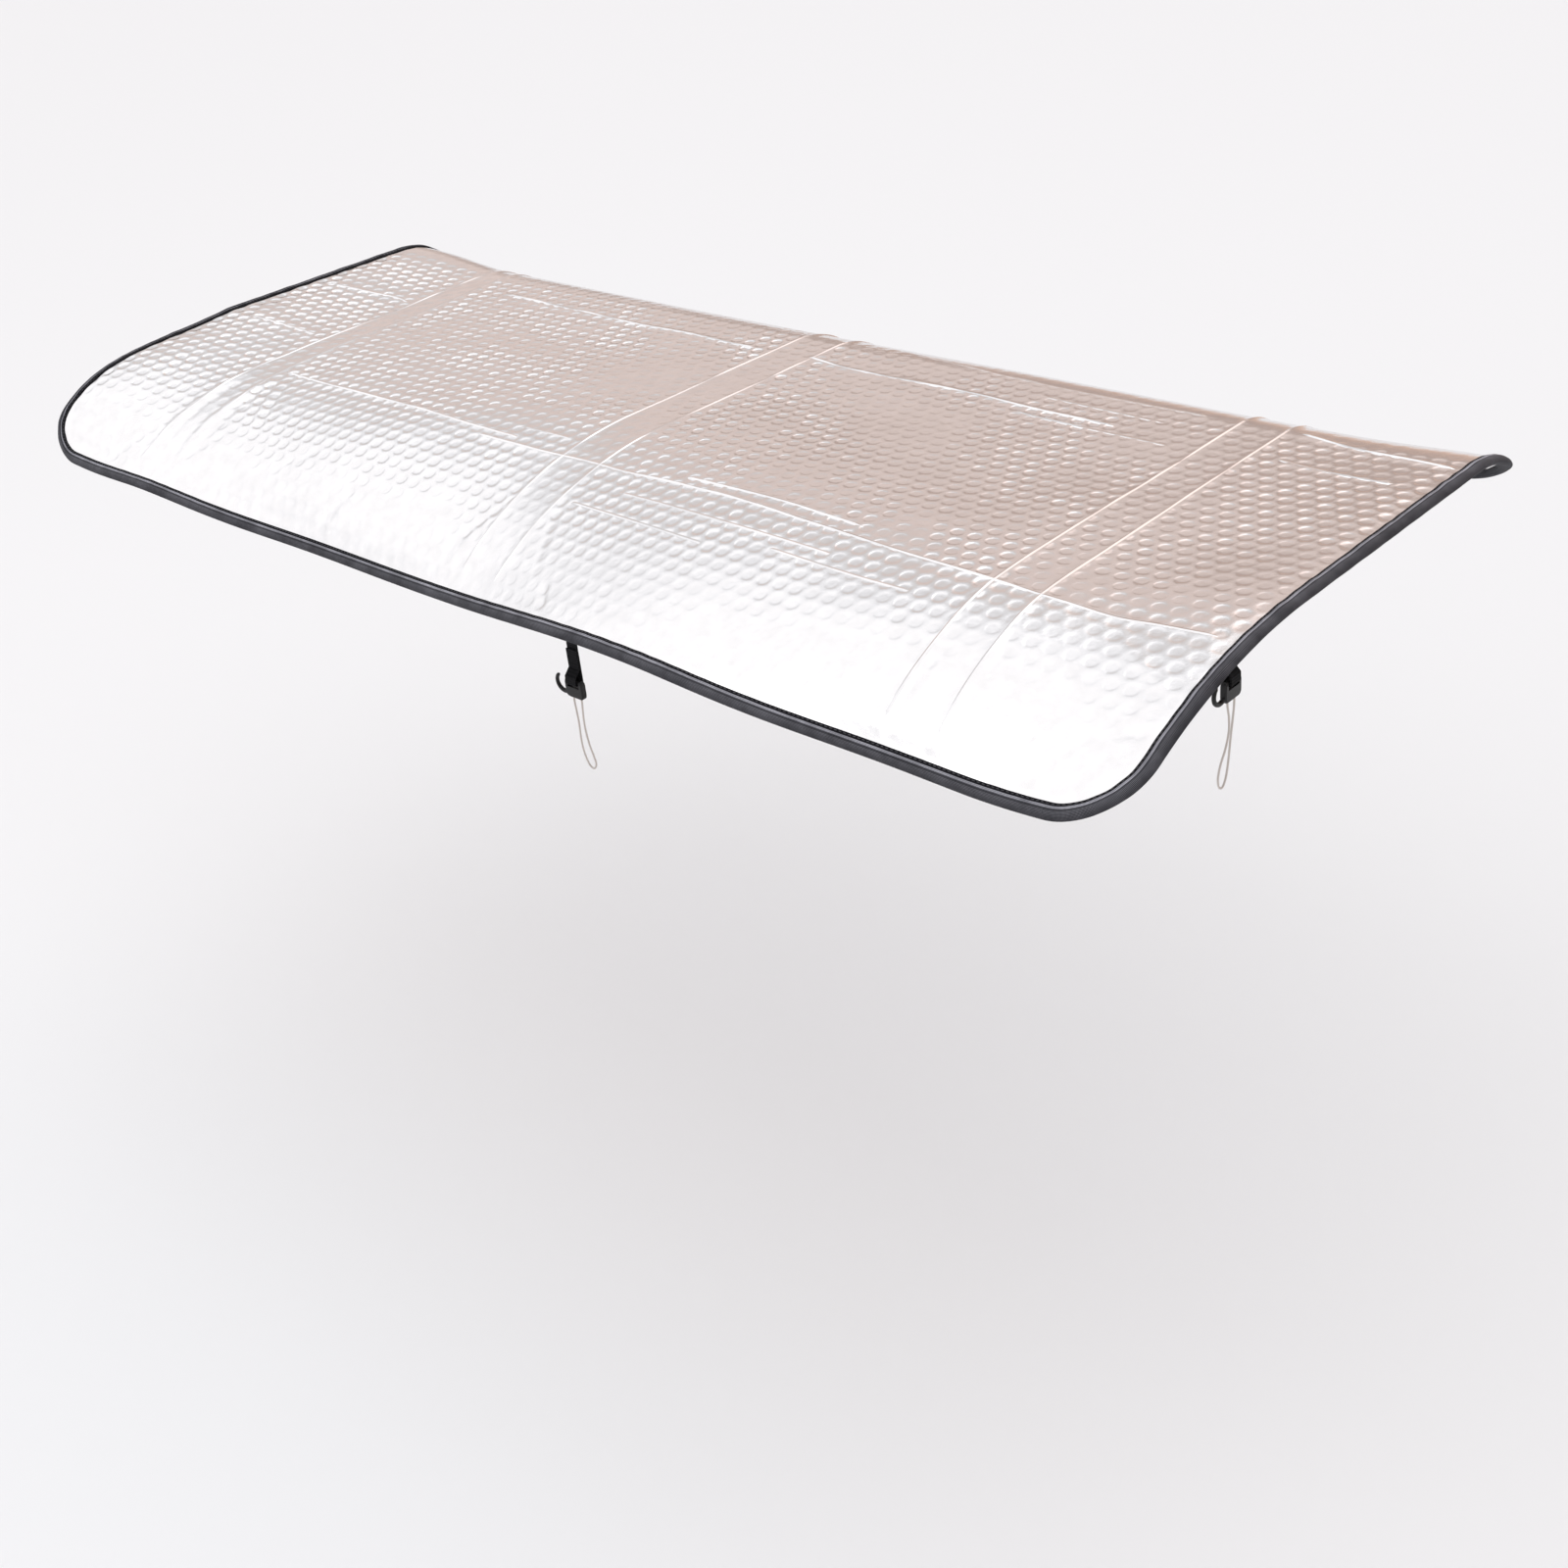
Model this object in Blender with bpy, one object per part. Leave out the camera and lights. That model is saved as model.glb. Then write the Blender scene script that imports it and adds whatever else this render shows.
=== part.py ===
# A bubble-foil sun cover that lies over the top of a box-shaped outdoor unit and hangs past it.
# Metres, +Z up, X across the front, Y from front to back.
# The origin is on the flat underside of the top, over the middle of what the cover rests on.
import math

import bmesh
import bpy
from mathutils import Vector

MM = 0.001

# The sheet, as cut flat
SHEET_WIDTH = 0.990
SHEET_DEPTH = 0.448
SHEET_THICKNESS = 0.003
CORNER_RADIUS = 0.041

# How the sheet lies, in sections across its width. slide is how far the middle line of the cloth has moved
# along Y. In front of front_start the slope grows to front_angle at the hem, as the given power of the way
# there, and behind back_start it grows evenly to back_angle.
SECTION_COLUMNS = ("x", "slide", "front_start", "front_angle", "front_power", "back_start", "back_angle")
SECTIONS = (
    (-0.490, -0.0220, -0.0600, 59, 2.4, 0.1330, 66),
    (-0.379, -0.0130, -0.0205, 31.5, 1.45, 0.1343, 63.5),
    (-0.190, -0.0085, -0.0510, 54, 1.62, 0.1294, 65),
    (-0.019, -0.0080, -0.0300, 43, 1.4, 0.1270, 63.5),
    (0.170, -0.0245, -0.0720, 31, 1.33, 0.1310, 60.5),
    (0.345, -0.0235, -0.1075, 56, 1.38, 0.1290, 60),
    (0.490, -0.0205, -0.0615, 34, 1.09, 0.1293, 55),
)
# Past its supports the sheet is free: it lifts a little, and its front left corner sinks and draws in.
SUPPORT_END = {"left": -0.379, "right": 0.401}
LEFT_LIFT = 0.0103
RIGHT_LIFT = 0.0028
CORNER_SINK = 0.0052
CORNER_DRAW_IN = 0.0058
CORNER_REACH = 0.2

# Ridges left where the cover was folded for its packet
CREASES_ACROSS = (-0.382, -0.354, -0.022, 0.015, 0.345, 0.372)
CREASES_ALONG = (-0.110, -0.095, 0.1175, 0.158)
CREASE_HEIGHT = 0.0011
CREASE_HALF_WIDTH = 0.003
CREASE_END_INSET = 0.013
CREASE_FADE = 0.006

# Spacing of the mesh
CORNER_CELLS = 5
WIDTH_SPACING = 0.033
TOP_SPACING = 0.036
FLAP_SPACING = 0.012
FLAP_START = {"front": -0.020, "back": 0.150}

# Folded tape sewn round the edge, measured outwards from the sheet's edge and up from its mid thickness
TAPE_REACH = 0.0070
TAPE_GAP = 0.0008
TAPE_THICKNESS = 0.0008
TAPE_CROWN = 0.0015
TAPE_FOLD = 0.0020

# Webbing straps, each sewn under the sheet and looped through a clip
WEBBING_WIDTH = 0.010
WEBBING_THICKNESS = 0.001
WEBBING_GAP = 0.0003
SEWN_LENGTH = 0.022
TURN_RADIUS = 0.003
TAIL_START = 0.0075
TAIL_LENGTH = 0.014
CLEAR_OF_STRAP = WEBBING_GAP + WEBBING_THICKNESS / 2
FRONT_STRAP = {"x": 0.001, "y": -0.1475, "clip_top": -0.1425}
SIDE_STRAP = {"x": 0.421, "y": -0.0105, "clip_top": -0.086}

# Moulded clip: a plate with a slot for the webbing and a hook at one side
CLIP_WIDTH = 0.017
CLIP_HEIGHT = 0.014
CLIP_THICKNESS = 0.0045
CLIP_BAR = 0.0024
CLIP_SLOT_HEIGHT = 0.0034
CLIP_SLOT_WIDTH = 0.0116
CLIP_CORNER = 0.0030
CLIP_EDGE = 0.0008
HOOK_RADIUS = 0.0065
HOOK_THICKNESS = 0.0034
HOOK_START = -25
HOOK_SWEEP = 215
HOOK_IN_PLATE = 0.0035
HOOK_FOOT = 0.002
HOOK_TAPER = 0.25
HOOK_TIP = 0.45

# Elastic loop that hangs from each clip
TIE_DIAMETER = 0.0013
TIE_STEPS = 56
# Places along each loop, from one end to the other: across the clip, out from it, and down from its foot
FRONT_TIE = (
    (-3.5, 0.0, -0.3), (-3.4, 0.2, -4.0), (-2.2, 0.8, -11.0), (-0.8, 1.6, -19.0), (-0.6, 2.2, -28.0),
    (-0.2, 2.4, -37.0), (0.8, 2.0, -45.0), (3.0, 1.4, -51.6), (6.0, 0.6, -53.6), (7.3, -0.6, -50.4),
    (5.6, -1.0, -44.6), (3.4, -0.9, -37.0), (2.3, -0.6, -28.0), (2.2, -0.4, -19.0), (3.0, -0.2, -11.0),
    (4.0, 0.0, -4.0), (4.0, 0.0, -0.3),
)
SIDE_TIE = (
    (-3.5, 0.0, -0.3), (-3.6, 0.3, -4.0), (-3.0, 0.9, -11.0), (-3.8, 1.4, -20.0), (-7.4, 1.6, -29.0),
    (-12.4, 1.4, -38.0), (-14.0, 0.9, -46.5), (-11.8, 0.4, -53.4), (-7.4, 0.0, -55.4), (-3.4, -0.3, -50.8),
    (-0.6, -0.5, -41.0), (1.0, -0.5, -30.0), (2.4, -0.4, -20.0), (3.6, -0.2, -11.0), (4.0, 0.0, -4.0),
    (4.0, 0.0, -0.3),
)

MATERIALS = {
    "foil": {"colour": (0.80, 0.79, 0.80), "roughness": 0.28, "metallic": 1.0},
    "tape": {"colour": (0.075, 0.078, 0.095), "roughness": 0.75, "metallic": 0.0},
    "webbing": {"colour": (0.012, 0.012, 0.013), "roughness": 0.85, "metallic": 0.0},
    "clip": {"colour": (0.010, 0.010, 0.011), "roughness": 0.40, "metallic": 0.0},
    "elastic": {"colour": (0.62, 0.58, 0.55), "roughness": 0.60, "metallic": 0.0},
}


def clear_scene():
    for old in list(bpy.data.objects):
        bpy.data.objects.remove(old, do_unlink=True)


def make_material(name):
    look = MATERIALS[name]
    material = bpy.data.materials.new(name)
    material.use_nodes = True
    shader = material.node_tree.nodes["Principled BSDF"]
    shader.inputs["Base Color"].default_value = (*look["colour"], 1)
    shader.inputs["Roughness"].default_value = look["roughness"]
    shader.inputs["Metallic"].default_value = look["metallic"]
    return material


def mesh_object(name, points, faces, material, smooth_below=40):
    mesh = bpy.data.meshes.new(name)
    mesh.from_pydata([tuple(p) for p in points], [], faces)
    mesh.validate()
    mesh.shade_smooth()
    mesh.set_sharp_from_angle(angle=math.radians(smooth_below))
    mesh.materials.append(make_material(material))
    obj = bpy.data.objects.new(name, mesh)
    bpy.context.scene.collection.objects.link(obj)
    return obj


def clamp(value):
    return min(max(value, 0.0), 1.0)


def ease(value):
    t = clamp(value)
    return t * t * (3 - 2 * t)


# The lie of the sheet

def section_value(x, column):
    """The column's value at x, on one smooth curve through the sections."""
    k = SECTION_COLUMNS.index(column)
    xs = [row[0] for row in SECTIONS]
    ys = [row[k] for row in SECTIONS]
    x = min(max(x, xs[0]), xs[-1])
    i = max(j for j in range(len(xs) - 1) if xs[j] <= x)

    def slope(j):
        before, after = max(j - 1, 0), min(j + 1, len(xs) - 1)
        return (ys[after] - ys[before]) / (xs[after] - xs[before])

    span = xs[i + 1] - xs[i]
    t = (x - xs[i]) / span
    return (
        (2 * t**3 - 3 * t**2 + 1) * ys[i]
        + (t**3 - 2 * t**2 + t) * span * slope(i)
        + (3 * t**2 - 2 * t**3) * ys[i + 1]
        + (t**3 - t**2) * span * slope(i + 1)
    )


def fall(reach, length, angle, power, steps=24):
    """How far along and how far down the cloth gets after reach, when its slope grows to angle at length."""
    along = down = 0.0
    for k in range(steps + 1):
        weight = (0.5 if k in (0, steps) else 1.0) * reach / steps
        slope = math.radians(angle) * (reach * k / steps / length) ** power
        along += weight * math.cos(slope)
        down += weight * math.sin(slope)
    return along, down


def drape(u, v):
    """Where a point of the flat sheet's underside lies. u runs across it and v from front to back."""
    slide = section_value(u, "slide")
    front_start = section_value(u, "front_start")
    back_start = section_value(u, "back_start")
    y = v + slide
    z = 0.0
    if y < front_start:
        length = front_start - slide + SHEET_DEPTH / 2
        angle, power = section_value(u, "front_angle"), section_value(u, "front_power")
        along, down = fall(front_start - y, length, angle, power)
        y, z = front_start - along, -down
    elif y > back_start:
        length = slide + SHEET_DEPTH / 2 - back_start
        along, down = fall(y - back_start, length, section_value(u, "back_angle"), 1.0)
        y, z = back_start + along, -down
    past_left = clamp((SUPPORT_END["left"] - u) / (SHEET_WIDTH / 2 + SUPPORT_END["left"]))
    past_right = clamp((u - SUPPORT_END["right"]) / (SHEET_WIDTH / 2 - SUPPORT_END["right"]))
    z += LEFT_LIFT * ease(past_left) + RIGHT_LIFT * ease(past_right)
    to_front = clamp(-(v + SHEET_DEPTH / 2 - CORNER_REACH) / CORNER_REACH)
    x = u + CORNER_DRAW_IN * (past_left * to_front) ** 1.5
    z -= CORNER_SINK * past_left**1.5 * 4 * to_front * (1 - to_front)
    return Vector((x, y, z))


def wrap(u, v, height):
    """The point that stands height above the underside, square to the sheet."""
    step = 0.0002
    across = drape(u + step, v) - drape(u - step, v)
    along = drape(u, v + step) - drape(u, v - step)
    return drape(u, v) + across.cross(along).normalized() * height


# The sheet

def spread(stops, spacing):
    """The stops, with evenly spaced values between each two that lie more than spacing apart."""
    values = [stops[0]]
    for a, b in zip(stops, stops[1:]):
        count = max(1, math.ceil((b - a) / spacing(0.5 * (a + b)) - 0.01))
        values += [a + (b - a) * k / count for k in range(1, count + 1)]
    return values


def grid_lines(half, creases, spacing):
    """Grid values from -half to half, with even cells in the corners and three lines at each crease."""
    corner = half - CORNER_RADIUS
    cell = CORNER_RADIUS / CORNER_CELLS
    ends = [corner + cell * k for k in range(CORNER_CELLS + 1)]
    stops = {-corner, corner}
    for place in creases:
        stops |= {place - CREASE_HALF_WIDTH, place, place + CREASE_HALF_WIDTH}
    inner = spread(sorted(stops), spacing)
    return [-value for value in reversed(ends[1:])] + inner + ends[1:]


def round_corner(u, v):
    """Moves a point of the square grid so that the grid's corners become quarter rounds."""
    corner_u, corner_v = SHEET_WIDTH / 2 - CORNER_RADIUS, SHEET_DEPTH / 2 - CORNER_RADIUS
    s, t = (abs(u) - corner_u) / CORNER_RADIUS, (abs(v) - corner_v) / CORNER_RADIUS
    if s <= 0 or t <= 0:
        return u, v
    u_round = corner_u + CORNER_RADIUS * s * math.sqrt(1 - t * t / 2)
    v_round = corner_v + CORNER_RADIUS * t * math.sqrt(1 - s * s / 2)
    return math.copysign(u_round, u), math.copysign(v_round, v)


def edge_distance(u, v):
    """How far a point of the flat sheet lies inside its outline."""
    across = abs(u) - (SHEET_WIDTH / 2 - CORNER_RADIUS)
    along = abs(v) - (SHEET_DEPTH / 2 - CORNER_RADIUS)
    return CORNER_RADIUS - math.hypot(max(across, 0), max(along, 0)) - min(max(across, along), 0)


def crease_height(u, v):
    nearest = min([abs(u - place) for place in CREASES_ACROSS] + [abs(v - place) for place in CREASES_ALONG])
    shape = clamp(1 - nearest / CREASE_HALF_WIDTH)
    return CREASE_HEIGHT * shape * ease((edge_distance(u, v) - CREASE_END_INSET) / CREASE_FADE)


def flap_or_top(v):
    return TOP_SPACING if FLAP_START["front"] < v < FLAP_START["back"] else FLAP_SPACING


def sheet_grid():
    columns = grid_lines(SHEET_WIDTH / 2, CREASES_ACROSS, lambda u: WIDTH_SPACING)
    rows = grid_lines(SHEET_DEPTH / 2, CREASES_ALONG + tuple(FLAP_START.values()), flap_or_top)
    return columns, rows


def outline_of(columns, rows):
    """Grid places once round the sheet's edge, anticlockwise seen from above."""
    last_column, last_row = len(columns) - 1, len(rows) - 1
    return (
        [(i, 0) for i in range(last_column)]
        + [(last_column, j) for j in range(last_row)]
        + [(i, last_row) for i in range(last_column, 0, -1)]
        + [(0, j) for j in range(last_row, 0, -1)]
    )


def build_sheet():
    columns, rows = sheet_grid()
    top, under = [], []
    for v in rows:
        for u in columns:
            place = round_corner(u, v)
            top.append(wrap(*place, SHEET_THICKNESS + crease_height(*place)))
            under.append(wrap(*place, 0.0))
    width = len(columns)
    offset = len(top)
    faces = []
    for j in range(len(rows) - 1):
        for i in range(width - 1):
            a, b = j * width + i, j * width + i + 1
            c, d = b + width, a + width
            faces.append((a, b, c, d))
            faces.append((offset + d, offset + c, offset + b, offset + a))
    edge = [j * width + i for i, j in outline_of(columns, rows)]
    for a, b in zip(edge, edge[1:] + edge[:1]):
        faces.append((b, a, offset + a, offset + b))
    return mesh_object("foil_sheet", top + under, faces, "foil", smooth_below=60)


# The binding

def tape_profile():
    """The folded tape's closed outline: its outer face from above round the edge, then its inner face."""
    inner = SHEET_THICKNESS / 2 + TAPE_GAP
    outer = inner + TAPE_THICKNESS
    crown = inner + TAPE_CROWN
    half = [
        (-TAPE_REACH, outer),
        (-TAPE_REACH * 0.72, outer + 0.0001),
        (-TAPE_REACH * 0.40, crown),
        (TAPE_GAP, crown - 0.0002),
        (TAPE_FOLD * 0.85, inner * 0.75),
    ]
    outside = half + [(TAPE_FOLD, 0.0)] + [(a, -h) for a, h in reversed(half)]
    under = [(-TAPE_REACH, -inner), (-TAPE_REACH / 2, -inner), (TAPE_GAP, -inner)]
    return outside + under + [(a, -h) for a, h in reversed(under)]


def outward(u, v):
    """The flat direction out of the sheet at a place on its edge."""
    across = max(abs(u) - (SHEET_WIDTH / 2 - CORNER_RADIUS), 0)
    along = max(abs(v) - (SHEET_DEPTH / 2 - CORNER_RADIUS), 0)
    length = math.hypot(across, along)
    return math.copysign(across, u) / length, math.copysign(along, v) / length


def build_binding():
    columns, rows = sheet_grid()
    profile = tape_profile()
    points = []
    for i, j in outline_of(columns, rows):
        u, v = round_corner(columns[i], rows[j])
        out_u, out_v = outward(u, v)
        for a, h in profile:
            points.append(wrap(u + out_u * a, v + out_v * a, SHEET_THICKNESS / 2 + h))
    count = len(profile)
    rings = len(points) // count
    faces = []
    for r in range(rings):
        here, there = r * count, (r + 1) % rings * count
        for k in range(count):
            n = (k + 1) % count
            faces.append((here + k, here + n, there + n, there + k))
    return mesh_object("edge_binding", points, faces, "tape", smooth_below=50)


# Straps, clips and ties

def rounded_path(corners, radius, steps=4):
    """A path in one plane with each inner corner turned into an arc."""
    path = [corners[0]]
    for before, here, after in zip(corners, corners[1:], corners[2:]):
        to_before, to_after = (before - here).normalized(), (after - here).normalized()
        opening = to_before.angle(to_after)
        if opening > math.radians(170):
            path.append(here)
            continue
        cut = min(radius / math.tan(opening / 2), (before - here).length / 2.05, (after - here).length / 2.05)
        centre = here + (to_before + to_after).normalized() * (cut / math.cos(opening / 2))
        start, end = here + to_before * cut - centre, here + to_after * cut - centre
        for k in range(steps + 1):
            path.append(centre + start.normalized().slerp(end.normalized(), k / steps) * start.length)
    return path + [corners[-1]]


def build_strap(name, path, width_axis):
    """A flat webbing strip along path, with its width along width_axis."""
    points = []
    for k, place in enumerate(path):
        before, after = path[max(k - 1, 0)], path[min(k + 1, len(path) - 1)]
        first, second = (place - before).normalized(), (after - place).normalized()
        along = (first + second).normalized()
        stretch = 1 / max(along.dot(second if k < len(path) - 1 else first), 0.5)
        normal = along.cross(width_axis).normalized() * WEBBING_THICKNESS / 2 * stretch
        side = width_axis * WEBBING_WIDTH / 2
        points += [place - side - normal, place + side - normal, place + side + normal, place - side + normal]
    faces = [(0, 1, 2, 3)]
    for k in range(len(path) - 1):
        for c in range(4):
            n = (c + 1) % 4
            faces.append((4 * k + c, 4 * k + 4 + c, 4 * k + 4 + n, 4 * k + n))
    last = len(points) - 4
    faces.append((last + 3, last + 2, last + 1, last))
    return outward_faces(mesh_object(name, points, faces, "webbing"))


def outward_faces(obj):
    shape = bmesh.new()
    shape.from_mesh(obj.data)
    bmesh.ops.recalc_face_normals(shape, faces=shape.faces)
    shape.to_mesh(obj.data)
    shape.free()
    return obj


def clip_frame(strap, across, out):
    """Places a point of the clip: across it, out from its middle and up from its top."""
    origin = Vector((strap["x"], strap["y"], strap["clip_top"]))
    return lambda a, o, h: origin + across * a + out * o + Vector((0, 0, 1)) * h


def strap_path(place, under):
    """From the sewn end under the sheet down to the clip, round its bar and up to the tail's end."""
    beside = CLIP_THICKNESS / 2 + CLEAR_OF_STRAP
    below = CLIP_BAR + CLEAR_OF_STRAP
    tail = -beside + WEBBING_THICKNESS + WEBBING_GAP
    sewn = [under(place(0, -beside, 0), SEWN_LENGTH * (1 - k / 4)) for k in range(5)]
    middle = place(0, -beside, TAIL_START + TAIL_LENGTH + 2 * TURN_RADIUS)
    loop = [
        middle,
        place(0, -beside, -below),
        place(0, beside, -below),
        place(0, beside, TAIL_START / 3),
        place(0, tail, TAIL_START),
        place(0, tail, TAIL_START + TAIL_LENGTH),
    ]
    return rounded_path(sewn + [middle], TURN_RADIUS)[:-1] + rounded_path(loop, CLEAR_OF_STRAP)


def build_clip(name, place):
    """A rounded plate with the webbing slot cut through it, joined to a round hook at its side."""
    half, low = CLIP_WIDTH / 2, -CLIP_HEIGHT
    rim = []
    for side, top, start in ((1, 0, 0), (-1, 0, 90), (-1, low, 180), (1, low, 270)):
        centre_a = side * (half - CLIP_CORNER)
        centre_h = top - CLIP_CORNER if top == 0 else low + CLIP_CORNER
        for k in range(5):
            turn = math.radians(start + 90 * k / 4)
            rim.append((centre_a + CLIP_CORNER * math.cos(turn), centre_h + CLIP_CORNER * math.sin(turn)))
    count = len(rim)
    points = []
    for out, inset in ((-1, CLIP_EDGE), (-1, 0), (1, 0), (1, CLIP_EDGE)):
        depth = out * (CLIP_THICKNESS / 2 - (CLIP_EDGE if inset == 0 else 0))
        scale_a, scale_h = 1 - inset / half, 1 - inset * 2 / CLIP_HEIGHT
        for a, h in rim:
            points.append(place(a * scale_a, depth, low / 2 + (h - low / 2) * scale_h))
    faces = [tuple(reversed(range(count))), tuple(range(3 * count, 4 * count))]
    for ring in range(3):
        for k in range(count):
            n = (k + 1) % count
            faces.append((ring * count + k, ring * count + n, (ring + 1) * count + n, (ring + 1) * count + k))
    body = outward_faces(mesh_object(name, points, faces, "clip"))
    join(body, build_hook(name + "_hook", place), "UNION")
    join(body, build_slot(name + "_slot", place), "DIFFERENCE")
    return body


def build_hook(name, place):
    """A round bar that leaves the plate's side low down and curls up to a rounded tip."""
    centre_a = -CLIP_WIDTH / 2 - HOOK_RADIUS + HOOK_IN_PLATE
    centre_h = -CLIP_HEIGHT + HOOK_RADIUS + HOOK_FOOT
    radius = HOOK_THICKNESS / 2
    rings, sides, points = 16, 10, []
    for k in range(rings + 1):
        turn = math.radians(HOOK_START - HOOK_SWEEP * k / rings)
        taper = 1 - HOOK_TAPER * k / rings
        if k == rings:
            taper *= HOOK_TIP
        for s in range(sides):
            around = 2 * math.pi * s / sides
            reach = HOOK_RADIUS + radius * taper * math.cos(around)
            a, h = centre_a + reach * math.cos(turn), centre_h + reach * math.sin(turn)
            points.append(place(a, radius * taper * math.sin(around), h))
    faces = [tuple(range(sides)), tuple(reversed(range(rings * sides, (rings + 1) * sides)))]
    for k in range(rings):
        for s in range(sides):
            n = (s + 1) % sides
            faces.append((k * sides + s, (k + 1) * sides + s, (k + 1) * sides + n, k * sides + n))
    return outward_faces(mesh_object(name, points, faces, "clip"))


def build_slot(name, place):
    half = CLIP_SLOT_WIDTH / 2
    high, low = -CLIP_BAR, -CLIP_BAR - CLIP_SLOT_HEIGHT
    corners = ((-half, low), (half, low), (half, high), (-half, high))
    points = [place(a, o, h) for o in (-CLIP_THICKNESS, CLIP_THICKNESS) for a, h in corners]
    faces = [(3, 2, 1, 0), (4, 5, 6, 7)] + [(k, (k + 1) % 4, (k + 1) % 4 + 4, k + 4) for k in range(4)]
    return outward_faces(mesh_object(name, points, faces, "clip"))


def join(body, other, operation):
    other.hide_render = True
    other.display_type = "WIRE"
    cut = body.modifiers.new(operation.lower(), "BOOLEAN")
    cut.operation = operation
    cut.object = other
    cut.solver = "EXACT"


def smooth_route(route, steps):
    """Evenly counted points on one smooth curve through the route's own."""
    path = []
    for k in range(steps + 1):
        t = k / steps * (len(route) - 1)
        i = min(int(t), len(route) - 2)
        t -= i
        a, b, c, d = (route[min(max(i + n, 0), len(route) - 1)] for n in (-1, 0, 1, 2))
        square, cube = 2 * a - 5 * b + 4 * c - d, 3 * b - a - 3 * c + d
        path.append(0.5 * (2 * b + (c - a) * t + square * t**2 + cube * t**3))
    return path


def build_tie(name, route, place):
    path = smooth_route([place(a * MM, o * MM, h * MM - CLIP_HEIGHT) for a, o, h in route], TIE_STEPS)
    curve = bpy.data.curves.new(name, "CURVE")
    curve.dimensions = "3D"
    curve.bevel_depth = TIE_DIAMETER / 2
    curve.bevel_resolution = 2
    curve.use_fill_caps = True
    spline = curve.splines.new("POLY")
    spline.points.add(len(path) - 1)
    for point, position in zip(spline.points, path):
        point.co = (*position, 1)
    curve.materials.append(make_material("elastic"))
    obj = bpy.data.objects.new(name, curve)
    bpy.context.scene.collection.objects.link(obj)
    return obj


def flat_row(x, y):
    """The sheet's v under which a place lies."""
    v = y - section_value(x, "slide")
    for _ in range(12):
        v += y - drape(x, v).y
    return v


def under_sheet(u, v):
    """The middle of a strap that lies against the sheet's underside."""
    return wrap(u, v, -CLEAR_OF_STRAP)


def build_fixing(side, strap, tie_route, across, out, under):
    place = clip_frame(strap, across, out)
    build_strap(side + "_strap", strap_path(place, under), across)
    build_clip(side + "_clip", place)
    build_tie(side + "_tie", tie_route, place)


def build_front_fixing():
    def under(top, reach):
        return under_sheet(top.x, flat_row(top.x, top.y) + reach)

    build_fixing("front", FRONT_STRAP, FRONT_TIE, Vector((1, 0, 0)), Vector((0, -1, 0)), under)


def build_side_fixing():
    def under(top, reach):
        return under_sheet(top.x + reach, flat_row(top.x, top.y))

    build_fixing("side", SIDE_STRAP, SIDE_TIE, Vector((0, 1, 0)), Vector((1, 0, 0)), under)


clear_scene()
build_sheet()
build_binding()
build_front_fixing()
build_side_fixing()
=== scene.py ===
# The looks of a bubble-foil sun cover, in the drape that it takes over something box-shaped.
# The CAD frame gives the solids; this script dresses them. Metres, +Z up, X across the front, Y to the back.
import math

import bpy
import numpy as np
from mathutils import Matrix, Vector


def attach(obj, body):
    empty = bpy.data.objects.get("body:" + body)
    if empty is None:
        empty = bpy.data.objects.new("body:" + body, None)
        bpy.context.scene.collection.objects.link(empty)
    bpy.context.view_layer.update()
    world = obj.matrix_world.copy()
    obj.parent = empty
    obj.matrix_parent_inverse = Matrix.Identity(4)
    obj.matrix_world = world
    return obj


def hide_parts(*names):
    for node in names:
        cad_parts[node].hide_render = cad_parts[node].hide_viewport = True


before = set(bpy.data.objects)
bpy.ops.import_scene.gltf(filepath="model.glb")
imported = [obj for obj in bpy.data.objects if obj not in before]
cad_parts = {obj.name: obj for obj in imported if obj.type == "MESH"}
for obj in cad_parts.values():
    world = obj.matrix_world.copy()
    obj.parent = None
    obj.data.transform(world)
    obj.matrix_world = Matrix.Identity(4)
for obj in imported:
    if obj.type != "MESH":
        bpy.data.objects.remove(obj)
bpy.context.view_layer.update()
body = "root"
mm = 0.001
scene = bpy.context.scene

# Camera: standing in front of the right-hand end, looking down on the cover
view = {
    "place": (0.9516, -0.8931, 0.4671),
    "aim": (0.3868, -0.3405, 0.0),
    "roll": -6.644,             # degrees
    "lens": 45.94,
    "sensor": 36.0,
}


def lookFrom(place, aim):
    # stands something at one place, so that it looks at another
    turn = (Vector(aim) - Vector(place)).to_track_quat("-Z", "Y").to_matrix().to_4x4()
    return Matrix.Translation(place) @ turn


def makeCamera():
    camera = bpy.data.cameras.new("studioCamera")
    camera.lens = view["lens"]
    camera.sensor_width = view["sensor"]
    obj = bpy.data.objects.new("studioCamera", camera)
    roll = Matrix.Rotation(math.radians(view["roll"]), 4, "Z")
    obj.matrix_world = lookFrom(view["place"], view["aim"]) @ roll
    scene.collection.objects.link(obj)
    scene.camera = obj


makeCamera()
print("camera ready")

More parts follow.
